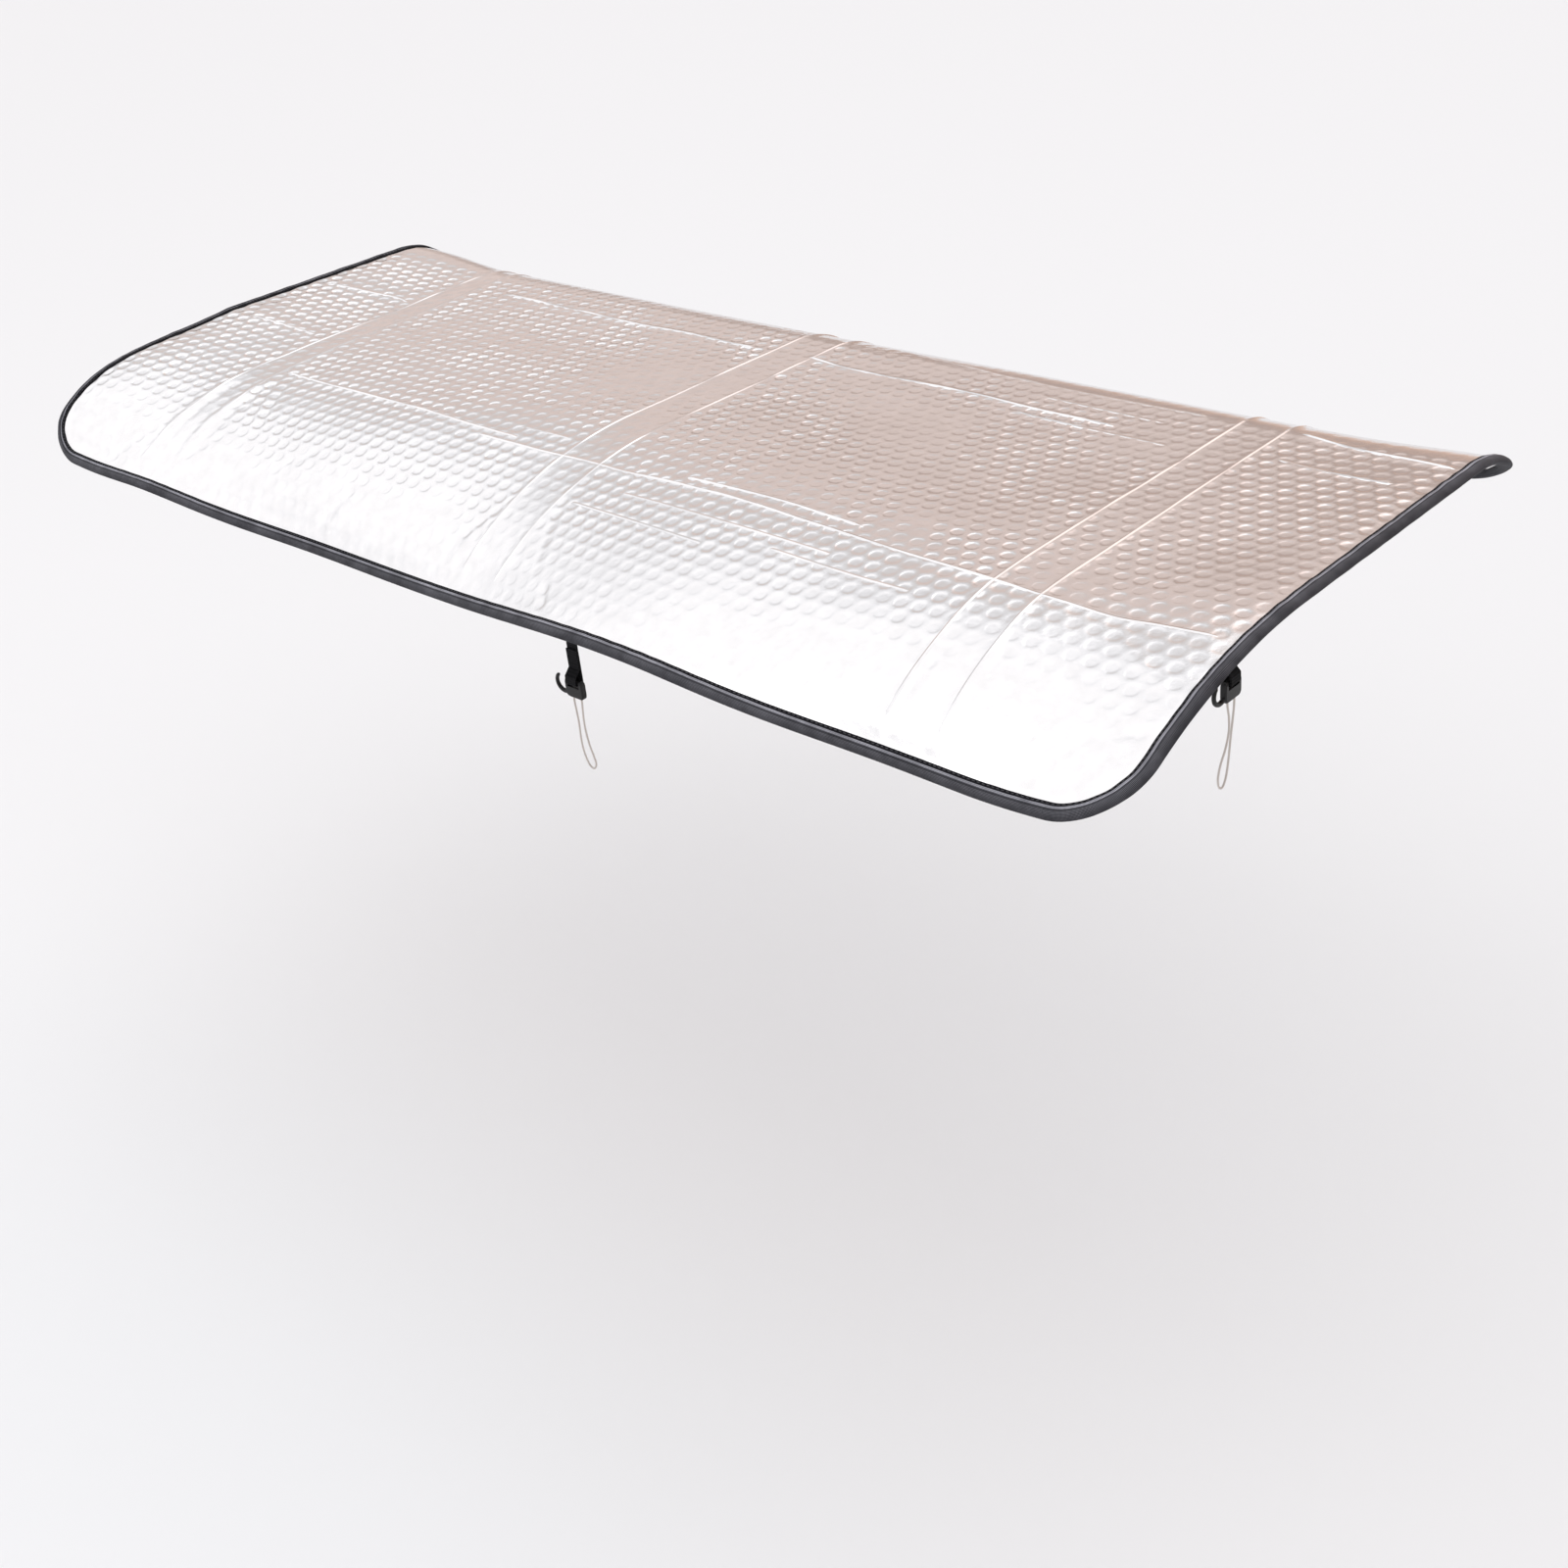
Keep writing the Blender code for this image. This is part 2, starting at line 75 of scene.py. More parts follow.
# How the sheet lies: the same sections across its width as the solids have
lie = {
    "width": 0.990, "depth": 0.448, "thickness": 0.003, "corner": 0.041,
    "supportLeft": -0.379, "supportRight": 0.401, "leftLift": 0.0103, "rightLift": 0.0028,
    "cornerSink": 0.0052, "cornerDrawIn": 0.0058, "cornerReach": 0.2, "steps": 24,
}
lieColumns = ("x", "slide", "frontStart", "frontAngle", "frontPower", "backStart", "backAngle")
lieSections = np.array((
    (-0.490, -0.0220, -0.0600, 59, 2.4, 0.1330, 66),
    (-0.379, -0.0130, -0.0205, 31.5, 1.45, 0.1343, 63.5),
    (-0.190, -0.0085, -0.0510, 54, 1.62, 0.1294, 65),
    (-0.019, -0.0080, -0.0300, 43, 1.4, 0.1270, 63.5),
    (0.170, -0.0245, -0.0720, 31, 1.33, 0.1310, 60.5),
    (0.345, -0.0235, -0.1075, 56, 1.38, 0.1290, 60),
    (0.490, -0.0205, -0.0615, 34, 1.09, 0.1293, 55),
))


def ease(value):
    t = np.clip(value, 0.0, 1.0)
    return t * t * (3 - 2 * t)


def easeOver(value, reach):
    # from 0 to 1 while the value goes through the reach
    low, high = reach
    return ease((value - low) / (high - low))


def smoothThrough(x, xs, ys):
    # one smooth curve through the places xs, ys
    x = np.clip(x, xs[0], xs[-1])
    i = np.clip(np.searchsorted(xs, x, side="right") - 1, 0, len(xs) - 2)
    order = np.arange(len(xs))
    before, after = np.maximum(order - 1, 0), np.minimum(order + 1, len(xs) - 1)
    slope = (ys[after] - ys[before]) / (xs[after] - xs[before])
    span = xs[i + 1] - xs[i]
    t = (x - xs[i]) / span
    return (
        (2 * t**3 - 3 * t**2 + 1) * ys[i]
        + (t**3 - 2 * t**2 + t) * span * slope[i]
        + (3 * t**2 - 2 * t**3) * ys[i + 1]
        + (t**3 - t**2) * span * slope[i + 1]
    )


def sectionValue(x, column):
    return smoothThrough(x, lieSections[:, 0], lieSections[:, lieColumns.index(column)])


def fall(reach, length, angle, power):
    # how far along and down the cloth gets after reach, when its slope grows to angle at length
    steps = lie["steps"]
    along, down = np.zeros_like(reach), np.zeros_like(reach)
    for k in range(steps + 1):
        weight = (0.5 if k in (0, steps) else 1.0) * reach / steps
        slope = np.radians(angle) * (reach * k / steps / length) ** power
        along += weight * np.cos(slope)
        down += weight * np.sin(slope)
    return along, down


def drape(u, v):
    # where points of the flat sheet's underside lie
    half = lie["depth"] / 2
    slide = sectionValue(u, "slide")
    y = v + slide
    frontStart, backStart = sectionValue(u, "frontStart"), sectionValue(u, "backStart")
    pastFront, pastBack = np.maximum(frontStart - y, 0), np.maximum(y - backStart, 0)
    alongFront, downFront = fall(
        pastFront, frontStart - slide + half, sectionValue(u, "frontAngle"), sectionValue(u, "frontPower"))
    alongBack, downBack = fall(pastBack, slide + half - backStart, sectionValue(u, "backAngle"), 1.0)
    y = y + pastFront - alongFront - pastBack + alongBack
    z = -downFront - downBack
    pastLeft = np.clip((lie["supportLeft"] - u) / (lie["width"] / 2 + lie["supportLeft"]), 0, 1)
    pastRight = np.clip((u - lie["supportRight"]) / (lie["width"] / 2 - lie["supportRight"]), 0, 1)
    z = z + lie["leftLift"] * ease(pastLeft) + lie["rightLift"] * ease(pastRight)
    toFront = np.clip(-(v + half - lie["cornerReach"]) / lie["cornerReach"], 0, 1)
    x = u + lie["cornerDrawIn"] * (pastLeft * toFront) ** 1.5
    z = z - lie["cornerSink"] * pastLeft**1.5 * 4 * toFront * (1 - toFront)
    return np.stack([x, y, z], axis=-1)


def wrap(u, v, height):
    # points that stand height above the underside, square to the sheet
    step = 0.0002
    across = drape(u + step, v) - drape(u - step, v)
    along = drape(u, v + step) - drape(u, v - step)
    normal = np.cross(across, along)
    normal /= np.linalg.norm(normal, axis=-1, keepdims=True)
    return drape(u, v) + normal * np.asarray(height)[..., None]


def edgeDistance(u, v):
    # how far a place on the flat sheet lies inside its outline
    across = np.abs(u) - (lie["width"] / 2 - lie["corner"])
    along = np.abs(v) - (lie["depth"] / 2 - lie["corner"])
    outside = np.hypot(np.maximum(across, 0), np.maximum(along, 0))
    return lie["corner"] - outside - np.minimum(np.maximum(across, along), 0)


def smoothNoise(x, y, seed):
    # soft random hills, about -1 to 1, one unit apart
    table = np.random.default_rng(seed).uniform(-1, 1, (64, 64))
    i, j = np.floor(x).astype(int), np.floor(y).astype(int)
    s, t = ease(x - i), ease(y - j)
    i, j = i % 64, j % 64
    low = table[i, j] * (1 - s) + table[(i + 1) % 64, j] * s
    high = table[i, (j + 1) % 64] * (1 - s) + table[(i + 1) % 64, (j + 1) % 64] * s
    return low * (1 - t) + high * t


# The relief of the foil: packet creases, wrinkles, the roll over the front edge and a soft unevenness
relief = {
    "creaseHeight": 0.45 * mm, "creaseWidth": 2.6 * mm, "creaseEnd": 12 * mm,
    "edgeFade": (9 * mm, 16 * mm),
    "puckerHeight": 0.35 * mm, "puckerLength": 11 * mm, "puckerSeed": 17,
    "puckerReach": 16 * mm, "puckerFade": (-2 * mm, 3 * mm),
    "swell": 0.7 * mm, "swellLength": 55 * mm, "swellSeed": 11, "swellEnd": 145 * mm,
    "wrinkleBend": 0.12, "wrinkleEnd": 1.3,
    "rollFront": -220 * mm, "rollBack": -50 * mm,
    "bulgeFront": -221 * mm, "bulgePeak": -75 * mm, "bulgeBack": 75 * mm,
}
# Creases that run from front to back: strength, then places as (v, u) in mm on the flat sheet, front first
acrossCreases = (
    (0.75, ((-212, -383), (-180, -379), (-140, -377), (-110, -378), (-80, -379), (-60, -377), (0, -377),
            (60, -381), (210, -390))),
    (0.5, ((-205, -344), (-170, -344), (-130, -346.5), (-95, -351), (-20, -352), (60, -356), (210, -370))),
    (1.0, ((-212, -22.5), (-60, -23.5), (40, -24.3), (210, -24.5))),
    (0.8, ((-212, 14), (-100, 14.8), (-40, 13.5), (40, 12), (210, 11.5))),
    (0.9, ((-212, 343), (-150, 345), (-100, 343.3), (-20, 342), (60, 340.5), (210, 339.5))),
    (0.9, ((-212, 377.5), (-140, 376.7), (-100, 375), (0, 373.5), (60, 372), (210, 370.5))),
)
# Creases along the cover: strength, then places as (u, v), left first
alongCreases = (
    (0.9, ((-482, 62), (-455, 65), (-430, 68), (-405, 72), (-384, 69))),
    (0.6, ((-472, -24), (-440, -22), (-415, -20), (-385, -21))),
    (1.0, ((-330, 119), (-300, 117), (-250, 114), (-180, 110), (-120, 108.6), (-36, 107.6))),
    (1.0, ((-350, -84), (-300, -87), (-250, -89), (-200, -90.5), (-130, -92.5), (-70, -92))),
    (1.0, ((-115, -100), (-60, -99), (0, -96.5), (40, -96.5), (100, -93), (150, -91), (200, -92.5),
           (260, -95.5), (335, -100), (420, -102), (445, -99), (484, -96.5))),
    (0.4, ((-92, -80), (-60, -79.5), (-28, -79))),
    (1.0, ((2, 113), (40, 111.5), (80, 114), (120, 118), (160, 121.5), (200, 120), (280, 117))),
    (0.5, ((195, 111), (240, 108), (280, 106), (328, 104))),
    (0.9, ((85, -86), (140, -82), (180, -80.5), (210, -82), (245, -84))),
    (0.35, ((60, 160), (200, 158), (325, 156))),
    (1.0, ((374, 157), (420, 148), (460, 143), (493, 139))),
    (0.5, ((380, 116), (420, 110), (450, 107), (474, 106))),
    (0.5, ((50, -115.5), (120, -114), (200, -113.5), (250, -115))),
    (0.4, ((195, -123), (270, -126), (315, -127))),
    (0.35, ((20, -134), (90, -134.5), (165, -135))),
    (0.35, ((192, 141), (250, 138), (305, 135))),
)
# Wrinkles, by where their middle lies, the way they run in degrees from +X, and their size, in mm
wrinkleColumns = ("u", "v", "turn", "length", "width", "height")
wrinkles = (
    (-379, -150, 91, 110, 4.0, 1.2),
    (-370, -140, 88, 90, 3.5, -0.9),
    (-348, -150, 90, 110, 4.0, 1.35),
    (-339, -140, 94, 80, 3.5, -0.9),
    (-319, -125, 118, 70, 3.5, 0.9),
    (-312, -128, 120, 60, 3.0, -0.75),
    (-294, -135, 122, 60, 3.5, 0.75),
    (-419, -110, 118, 80, 4.0, 0.75),
    (-439, -120, 112, 80, 4.0, -0.75),
    (-455, -180, 4, 60, 3.5, 0.9),
    (-434, -167, 2, 60, 3.0, -0.75),
    (-405, -195, 60, 50, 4.0, -0.75),
    (-330, -190, 55, 60, 4.5, 0.75),
    (-240, -170, 40, 70, 5.0, -0.6),
    (-170, -198, 65, 50, 3.5, -0.9),
    (-160, -192, 72, 40, 3.0, 0.6),
    (-38, -175, 66, 70, 3.5, -0.6),
    (-32, -170, 74, 60, 3.0, 0.4),
    (-24, -190, 85, 50, 3.0, -0.4),
    (32, -165, 118, 60, 3.5, -0.6),
    (72, -205, 130, 30, 3.0, -0.75),
    (349, -180, 84, 60, 3.0, -0.9),
    (385, -165, 97, 50, 3.0, -0.6),
    (455, -130, 150, 50, 4.0, 0.6),
    (474, -172, 15, 20, 3.0, -0.75),
)
# The roll over the front edge: u, how far it lies below the solids, and the v where that is most, in mm
rollPlaces = np.array((
    (-495, -2.0, -150), (-450, -6.0, -160), (-380, -5.0, -158), (-320, -2.0, -145), (-200, -0.3, -130),
    (60, 0.8, -125), (180, 1.2, -125), (350, 1.2, -125), (495, -0.6, -125),
)) * mm
# The broad soft bulge behind it: u, and how much higher it lies, in mm
bulgePlaces = np.array((
    (-495, 0.0), (-60, 0.3), (30, 3.0), (110, 5.0), (210, 4.5), (300, 2.2), (400, 0.2), (495, 0.0),
)) * mm


def creaseCourse(row):
    # a crease's strength, the range that it runs over, and its course as a smooth curve
    strength, places = row
    run, aside = np.array(places).T * mm
    return strength, run[0], run[-1], lambda along: smoothThrough(along, run, aside)


def creaseEnds(along, low, high):
    return ease(np.minimum(along - low, high - along) / relief["creaseEnd"])


def creaseNearness(u, v):
    # how far the nearest front-to-back crease is
    return np.min([np.abs(u - creaseCourse(row)[3](v)) for row in acrossCreases], axis=0)


def betweenCreases(u, v, row, partner):
    return (u > creaseCourse(row)[3](v)) & (u < creaseCourse(partner)[3](v))


def hump(v, front, peak, back):
    # 0 at the front and at the back, and 1 at the peak
    return ease(np.minimum((back - v) / (back - peak), (v - front) / (peak - front)))


def foilRelief(u, v):
    height = np.zeros_like(u)
    for rows, along, aside in ((acrossCreases, v, u), (alongCreases, u, v)):
        for row in rows:
            strength, low, high, course = creaseCourse(row)
            soft = np.exp(-(((aside - course(along)) / relief["creaseWidth"]) ** 2))
            soft = soft * creaseEnds(along, low, high)
            height = np.maximum(height, relief["creaseHeight"] * strength * soft)
    for row in wrinkles:
        w = dict(zip(wrinkleColumns, row))
        turn = math.radians(w["turn"])
        along = (u - w["u"] * mm) * math.cos(turn) + (v - w["v"] * mm) * math.sin(turn)
        aside = (v - w["v"] * mm) * math.cos(turn) - (u - w["u"] * mm) * math.sin(turn)
        aside = aside + relief["wrinkleBend"] * along**2 / (w["length"] * mm)
        window = ease(relief["wrinkleEnd"] - np.abs(along) / (w["length"] * mm / 2))
        height = height + w["height"] * mm * window * np.exp(-((aside / (w["width"] * mm)) ** 2))
    swell = smoothNoise(u / relief["swellLength"], v / relief["swellLength"], relief["swellSeed"])
    height = height + relief["swell"] * swell * ease((relief["swellEnd"] - v) / relief["swellLength"])
    inside = edgeDistance(u, v)
    height = height * easeOver(inside, relief["edgeFade"])
    peak = smoothThrough(u, rollPlaces[:, 0], rollPlaces[:, 2])
    roll = hump(v, relief["rollFront"], peak, relief["rollBack"])
    height = height - smoothThrough(u, rollPlaces[:, 0], rollPlaces[:, 1]) * roll
    bulge = hump(v, relief["bulgeFront"], relief["bulgePeak"], relief["bulgeBack"])
    height = height + smoothThrough(u, bulgePlaces[:, 0], bulgePlaces[:, 1]) * bulge
    length = relief["puckerLength"]
    pucker = smoothNoise((u + v) / length, (u - v) / length, relief["puckerSeed"])
    near = ease(1 - inside / relief["puckerReach"]) * easeOver(inside, relief["puckerFade"])
    return height + relief["puckerHeight"] * pucker * near


# Helpers for meshes, nodes and materials

def meshFrom(name, points, faces, material, smooth=True):
    mesh = bpy.data.meshes.new(name)
    faces = np.asarray(faces, np.int32)
    mesh.vertices.add(len(points))
    mesh.vertices.foreach_set("co", np.asarray(points, np.float32).ravel())
    mesh.loops.add(faces.size)
    mesh.loops.foreach_set("vertex_index", faces.ravel())
    mesh.polygons.add(len(faces))
    mesh.polygons.foreach_set("loop_start", np.arange(0, faces.size, faces.shape[1], dtype=np.int32))
    mesh.update(calc_edges=True)
    mesh.validate()
    mesh.polygons.foreach_set("use_smooth", np.full(len(mesh.polygons), smooth))
    mesh.materials.append(material)
    obj = bpy.data.objects.new(name, mesh)
    scene.collection.objects.link(obj)
    return obj


def setInput(tree, socket, value):
    # another node's output is linked, anything else is the input's own value
    if isinstance(value, bpy.types.NodeSocket):
        tree.links.new(value, socket)
    else:
        socket.default_value = value


def setInputs(tree, node, **values):
    # a node's inputs by their names, with underscores for the spaces in them
    for name, value in values.items():
        setInput(tree, node.inputs[name.replace("_", " ")], value)


def addNode(tree, kind, place, **values):
    # a node with its settings and its inputs
    node = tree.nodes.new(kind)
    node.location = (place[0] * 200, place[1] * -180)
    for name, value in values.items():
        if hasattr(node, name):
            setattr(node, name, value)
        else:
            setInputs(tree, node, **{name: value})
    return node


def mathNode(tree, operation, place, *inputs):
    node = addNode(tree, "ShaderNodeMath", place, operation=operation)
    for socket, value in zip(node.inputs, inputs):
        setInput(tree, socket, value)
    return node.outputs[0]


def newGroup(name, kind, inputs, outputs):
    # a node group; its sockets are given by name, type and, where it matters, value
    group = bpy.data.node_groups.new(name, kind)
    for side, sockets in (("INPUT", inputs), ("OUTPUT", outputs)):
        for label, what, *value in sockets:
            socket = group.interface.new_socket(name=label, in_out=side, socket_type="NodeSocket" + what)
            if value:
                socket.default_value = value[0]
    start, end = group.nodes.new("NodeGroupInput"), group.nodes.new("NodeGroupOutput")
    start.location, end.location = (-600, 0), (2200, 0)
    return group, start, end


def newTree(name, sizes):
    # a geometry tree that takes a mesh, sizes by name, a seed and a material
    return newGroup(name, "GeometryNodeTree", (
        ("Geometry", "Geometry"), *((size, "Float") for size in sizes), ("Seed", "Int"),
        ("Material", "Material"),
    ), (("Geometry", "Geometry"),))


def chanceBetween(tree, place, low, high, seed):
    # a random number for each copy
    chance = addNode(tree, "FunctionNodeRandomValue", place, data_type="FLOAT", Seed=seed)
    setInput(tree, chance.inputs[2], low)
    setInput(tree, chance.inputs[3], high)
    return chance.outputs[1]


def closeTree(tree, copies, material, end, column, weld=0.0):
    # makes the copies real, welds them where they meet, and gives them smooth faces and their material
    steps = [addNode(tree, "GeometryNodeRealizeInstances", (column, 0))]
    if weld:
        steps.append(addNode(tree, "GeometryNodeMergeByDistance", (column + 1, 0), Distance=weld))
    steps.append(addNode(tree, "GeometryNodeSetShadeSmooth", (column + 2, 0)))
    steps.append(addNode(tree, "GeometryNodeSetMaterial", (column + 3, 0)))
    tree.links.new(copies, steps[0].inputs[0])
    for before, after in zip(steps, steps[1:]):
        tree.links.new(before.outputs[0], after.inputs[0])
    tree.links.new(material, steps[-1].inputs["Material"])
    tree.links.new(steps[-1].outputs[0], end.inputs["Geometry"])


def makeCrinkleGroup():
    # fine random crumpling of thin film, as a height and a mask
    group, start, end = newGroup("crinkle", "ShaderNodeTree", (
        ("Vector", "Vector"), ("Scale", "Float", 120.0), ("Sharpness", "Float", 0.5), ("Seed", "Float", 0.0),
    ), (("Height", "Float"), ("Mask", "Float")))
    given, link = start.outputs, group.links.new
    noise = addNode(group, "ShaderNodeTexNoise", (0, 0), noise_dimensions="4D", Vector=given["Vector"],
                    W=given["Seed"], Scale=given["Scale"], Detail=3.0, Roughness=0.55)
    centred = mathNode(group, "SUBTRACT", (1, 0), noise.outputs["Fac"], 0.5)
    ridge = mathNode(group, "MULTIPLY", (3, 0), mathNode(group, "ABSOLUTE", (2, 0), centred), 2.0)
    mix = addNode(group, "ShaderNodeMix", (4, 0), data_type="FLOAT")
    link(given["Sharpness"], mix.inputs[0])
    link(noise.outputs["Fac"], mix.inputs[2])
    link(ridge, mix.inputs[3])
    link(mix.outputs[0], end.inputs["Height"])
    link(noise.outputs["Fac"], end.inputs["Mask"])
    return group


def makeWeaveGroup():
    # plain weave of threads crossing at right angles, as a height
    group, start, end = newGroup("weave", "ShaderNodeTree", (
        ("Vector", "Vector"), ("Threads Across", "Float", 1600.0), ("Threads Along", "Float", 1600.0),
    ), (("Height", "Float"),))
    split = addNode(group, "ShaderNodeSeparateXYZ", (0, 0), Vector=start.outputs["Vector"])
    waves = []
    for row, (axis, threads) in enumerate((("X", "Threads Across"), ("Y", "Threads Along"))):
        count = mathNode(group, "MULTIPLY", (1, row), split.outputs[axis], start.outputs[threads])
        waves.append(mathNode(group, "SINE", (3, row), mathNode(group, "MULTIPLY", (2, row), count, math.pi)))
    height = mathNode(group, "ABSOLUTE", (5, 0), mathNode(group, "MULTIPLY", (4, 0), *waves))
    group.links.new(height, end.inputs["Height"])
    return group


crinkle = makeCrinkleGroup()
weave = makeWeaveGroup()


def newMaterial(name, **values):
    material = bpy.data.materials.new(name)
    material.use_nodes = True
    tree = material.node_tree
    shader = tree.nodes["Principled BSDF"]
    setInputs(tree, shader, **values)
    return material, tree, shader, addNode(tree, "ShaderNodeTexCoord", (-6, 0))


def placeGroup(tree, group, place, vector, **values):
    return addNode(tree, "ShaderNodeGroup", place, node_tree=group, Vector=vector, **values)


def paint(tree, shader, mask, look):
    # the look's colours, from dark to light by a mask
    mix = addNode(tree, "ShaderNodeMix", (-2, 0), data_type="RGBA")
    tree.links.new(mask, mix.inputs[0])
    mix.inputs[6].default_value = (*look["dark"], 1)
    mix.inputs[7].default_value = (*look["light"], 1)
    tree.links.new(mix.outputs[2], shader.inputs["Base Color"])


def roughen(tree, shader, mask, look):
    # the look's roughness, from its low to its high value by a mask
    low, high = look["roughness"]
    rough = addNode(tree, "ShaderNodeMapRange", (-2, 1), Value=mask, To_Min=low, To_Max=high)
    tree.links.new(rough.outputs[0], shader.inputs["Roughness"])


def fillRamp(ramp, rungs):
    # gives a colour ramp its colours, by their places from 0 to 1
    stops = ramp.color_ramp.elements
    for k, (where, colour) in enumerate(rungs):
        stop = stops[k] if k < 2 else stops.new(where)
        stop.position = where
        stop.color = (*colour, 1)


def bumpInto(tree, shader, place, height, strength, distance, before=None):
    bump = addNode(tree, "ShaderNodeBump", place, Strength=strength, Distance=distance, Height=height)
    if before is not None:
        tree.links.new(before, bump.inputs["Normal"])
    tree.links.new(bump.outputs["Normal"], shader.inputs["Normal"])
    return bump.outputs["Normal"]


foilLook = {
    "dark": (0.72, 0.71, 0.715), "light": (0.88, 0.87, 0.875), "roughness": (0.12, 0.20),
    "creaseScale": 95.0, "creaseSharpness": 0.6, "creaseDepth": 0.00045, "creaseStrength": 0.5,
    "crumpleScale": 330.0, "crumpleSharpness": 0.35, "crumpleDepth": 0.00012, "crumpleStrength": 0.45,
}


def makeFoil():
    material, tree, shader, coordinates = newMaterial("bubbleFoil", Metallic=1.0)
    vector = coordinates.outputs["Object"]
    soft = placeGroup(tree, crinkle, (-4, 0), vector, Scale=foilLook["creaseScale"],
                      Sharpness=foilLook["creaseSharpness"], Seed=2.0)
    fine = placeGroup(tree, crinkle, (-4, 2), vector, Scale=foilLook["crumpleScale"],
                      Sharpness=foilLook["crumpleSharpness"], Seed=7.0)
    paint(tree, shader, soft.outputs["Mask"], foilLook)
    roughen(tree, shader, fine.outputs["Mask"], foilLook)
    first = bumpInto(tree, shader, (-2, 3), soft.outputs["Height"], foilLook["creaseStrength"],
                     foilLook["creaseDepth"])
    bumpInto(tree, shader, (-1, 3), fine.outputs["Height"], foilLook["crumpleStrength"],
             foilLook["crumpleDepth"], first)
    return material


tapeLook = {
    "dark": (0.003, 0.003, 0.005), "light": (0.66, 0.66, 0.74),
    "threads": 1500.0, "depth": 0.00012, "strength": 0.6, "blotchScale": 60.0,
    # the tape's grey with painted shade and highlight, by how far round the tape in mm from its inner hem:
    # painted shadow at the hem and in the sewn groove, a painted highlight on the ridge, a painted dark line
    # in the dip behind it, and painted shade as the face falls away
    "paintedShadeAndHighlight": (
        (0.0, 0.02), (2.5, 0.01), (3.0, 0.85), (3.9, 1.0), (4.4, 0.08),
        (5.0, 0.12), (5.8, 0.28), (7.2, 0.25), (9.0, 0.19), (11.0, 0.15),
    ),
}


def makeTapeCloth():
    material, tree, shader, coordinates = newMaterial("bindingCloth", Roughness=0.55, Specular_IOR_Level=0.07)
    threads = placeGroup(tree, weave, (-4, 0), coordinates.outputs["UV"],
                         Threads_Across=tapeLook["threads"], Threads_Along=tapeLook["threads"])
    blotch = placeGroup(tree, crinkle, (-4, 2), coordinates.outputs["Object"],
                        Scale=tapeLook["blotchScale"], Sharpness=0.0, Seed=4.0)
    mask = mathNode(tree, "MULTIPLY", (-3, 1), threads.outputs["Height"], blotch.outputs["Mask"])
    bright = mathNode(tree, "MULTIPLY", (-2.8, 1), mask, 2.0)
    split = addNode(tree, "ShaderNodeSeparateXYZ", (-5, 4), Vector=coordinates.outputs["UV"])
    span = tapeLook["paintedShadeAndHighlight"][-1][0]
    across = mathNode(tree, "DIVIDE", (-4, 4), split.outputs["Y"], span * mm)
    # the tape's grey with painted shade and a painted highlight across it, by how far round the tape
    paintedLightRamp = addNode(tree, "ShaderNodeValToRGB", (-3, 4), Fac=across)
    fillRamp(paintedLightRamp, [(far / span, (light,) * 3) for far, light in tapeLook["paintedShadeAndHighlight"]])
    paint(tree, shader, mathNode(tree, "MULTIPLY", (-2.5, 1), bright, paintedLightRamp.outputs[0]), tapeLook)
    bumpInto(tree, shader, (-2, 3), threads.outputs["Height"], tapeLook["strength"], tapeLook["depth"])
    return material


threadLook = {"dark": (0.016, 0.016, 0.020), "light": (0.060, 0.060, 0.070), "scale": 900.0}


def makeThread():
    material, tree, shader, coordinates = newMaterial("sewingThread", Roughness=0.55)
    twist = placeGroup(tree, crinkle, (-4, 0), coordinates.outputs["Object"],
                       Scale=threadLook["scale"], Sharpness=0.2, Seed=1.0)
    paint(tree, shader, twist.outputs["Mask"], threadLook)
    return material


webbingLook = {
    "dark": (0.002, 0.002, 0.0025), "light": (0.014, 0.014, 0.016),
    "across": 900.0, "along": 540.0, "depth": 0.00025, "strength": 0.8,
}


def makeWebbing():
    material, tree, shader, coordinates = newMaterial("wovenWebbing", Roughness=0.8, Specular_IOR_Level=0.12)
    split = addNode(tree, "ShaderNodeSeparateXYZ", (-5, 0), Vector=coordinates.outputs["Object"])
    side = mathNode(tree, "ADD", (-5, 1), split.outputs["X"], split.outputs["Y"])
    turned = addNode(tree, "ShaderNodeCombineXYZ", (-4.5, 0), X=side, Y=split.outputs["Z"])
    threads = placeGroup(tree, weave, (-4, 0), turned.outputs[0],
                         Threads_Across=webbingLook["across"], Threads_Along=webbingLook["along"])
    paint(tree, shader, threads.outputs["Height"], webbingLook)
    bumpInto(tree, shader, (-2, 3), threads.outputs["Height"], webbingLook["strength"], webbingLook["depth"])
    return material


mouldedLook = {
    "dark": (0.003, 0.003, 0.0035), "light": (0.008, 0.008, 0.009), "roughness": (0.30, 0.46),
    "wornScale": 160.0, "grainScale": 1400.0, "grainDepth": 0.00006, "grainStrength": 0.25,
}


def makeMoulded():
    material, tree, shader, coordinates = newMaterial("mouldedPlastic", Specular_IOR_Level=0.3)
    grain = placeGroup(tree, crinkle, (-4, 0), coordinates.outputs["Object"],
                       Scale=mouldedLook["grainScale"], Sharpness=0.0, Seed=3.0)
    worn = placeGroup(tree, crinkle, (-4, 2), coordinates.outputs["Object"],
                      Scale=mouldedLook["wornScale"], Sharpness=0.0, Seed=5.0)
    paint(tree, shader, worn.outputs["Mask"], mouldedLook)
    roughen(tree, shader, worn.outputs["Mask"], mouldedLook)
    bumpInto(tree, shader, (-2, 3), grain.outputs["Height"], mouldedLook["grainStrength"],
             mouldedLook["grainDepth"])
    return material


elasticLook = {
    "dark": (0.40, 0.36, 0.33), "light": (0.74, 0.70, 0.66), "braidScale": 1300 / 3,
    "depth": 0.0001, "strength": 0.5,
}


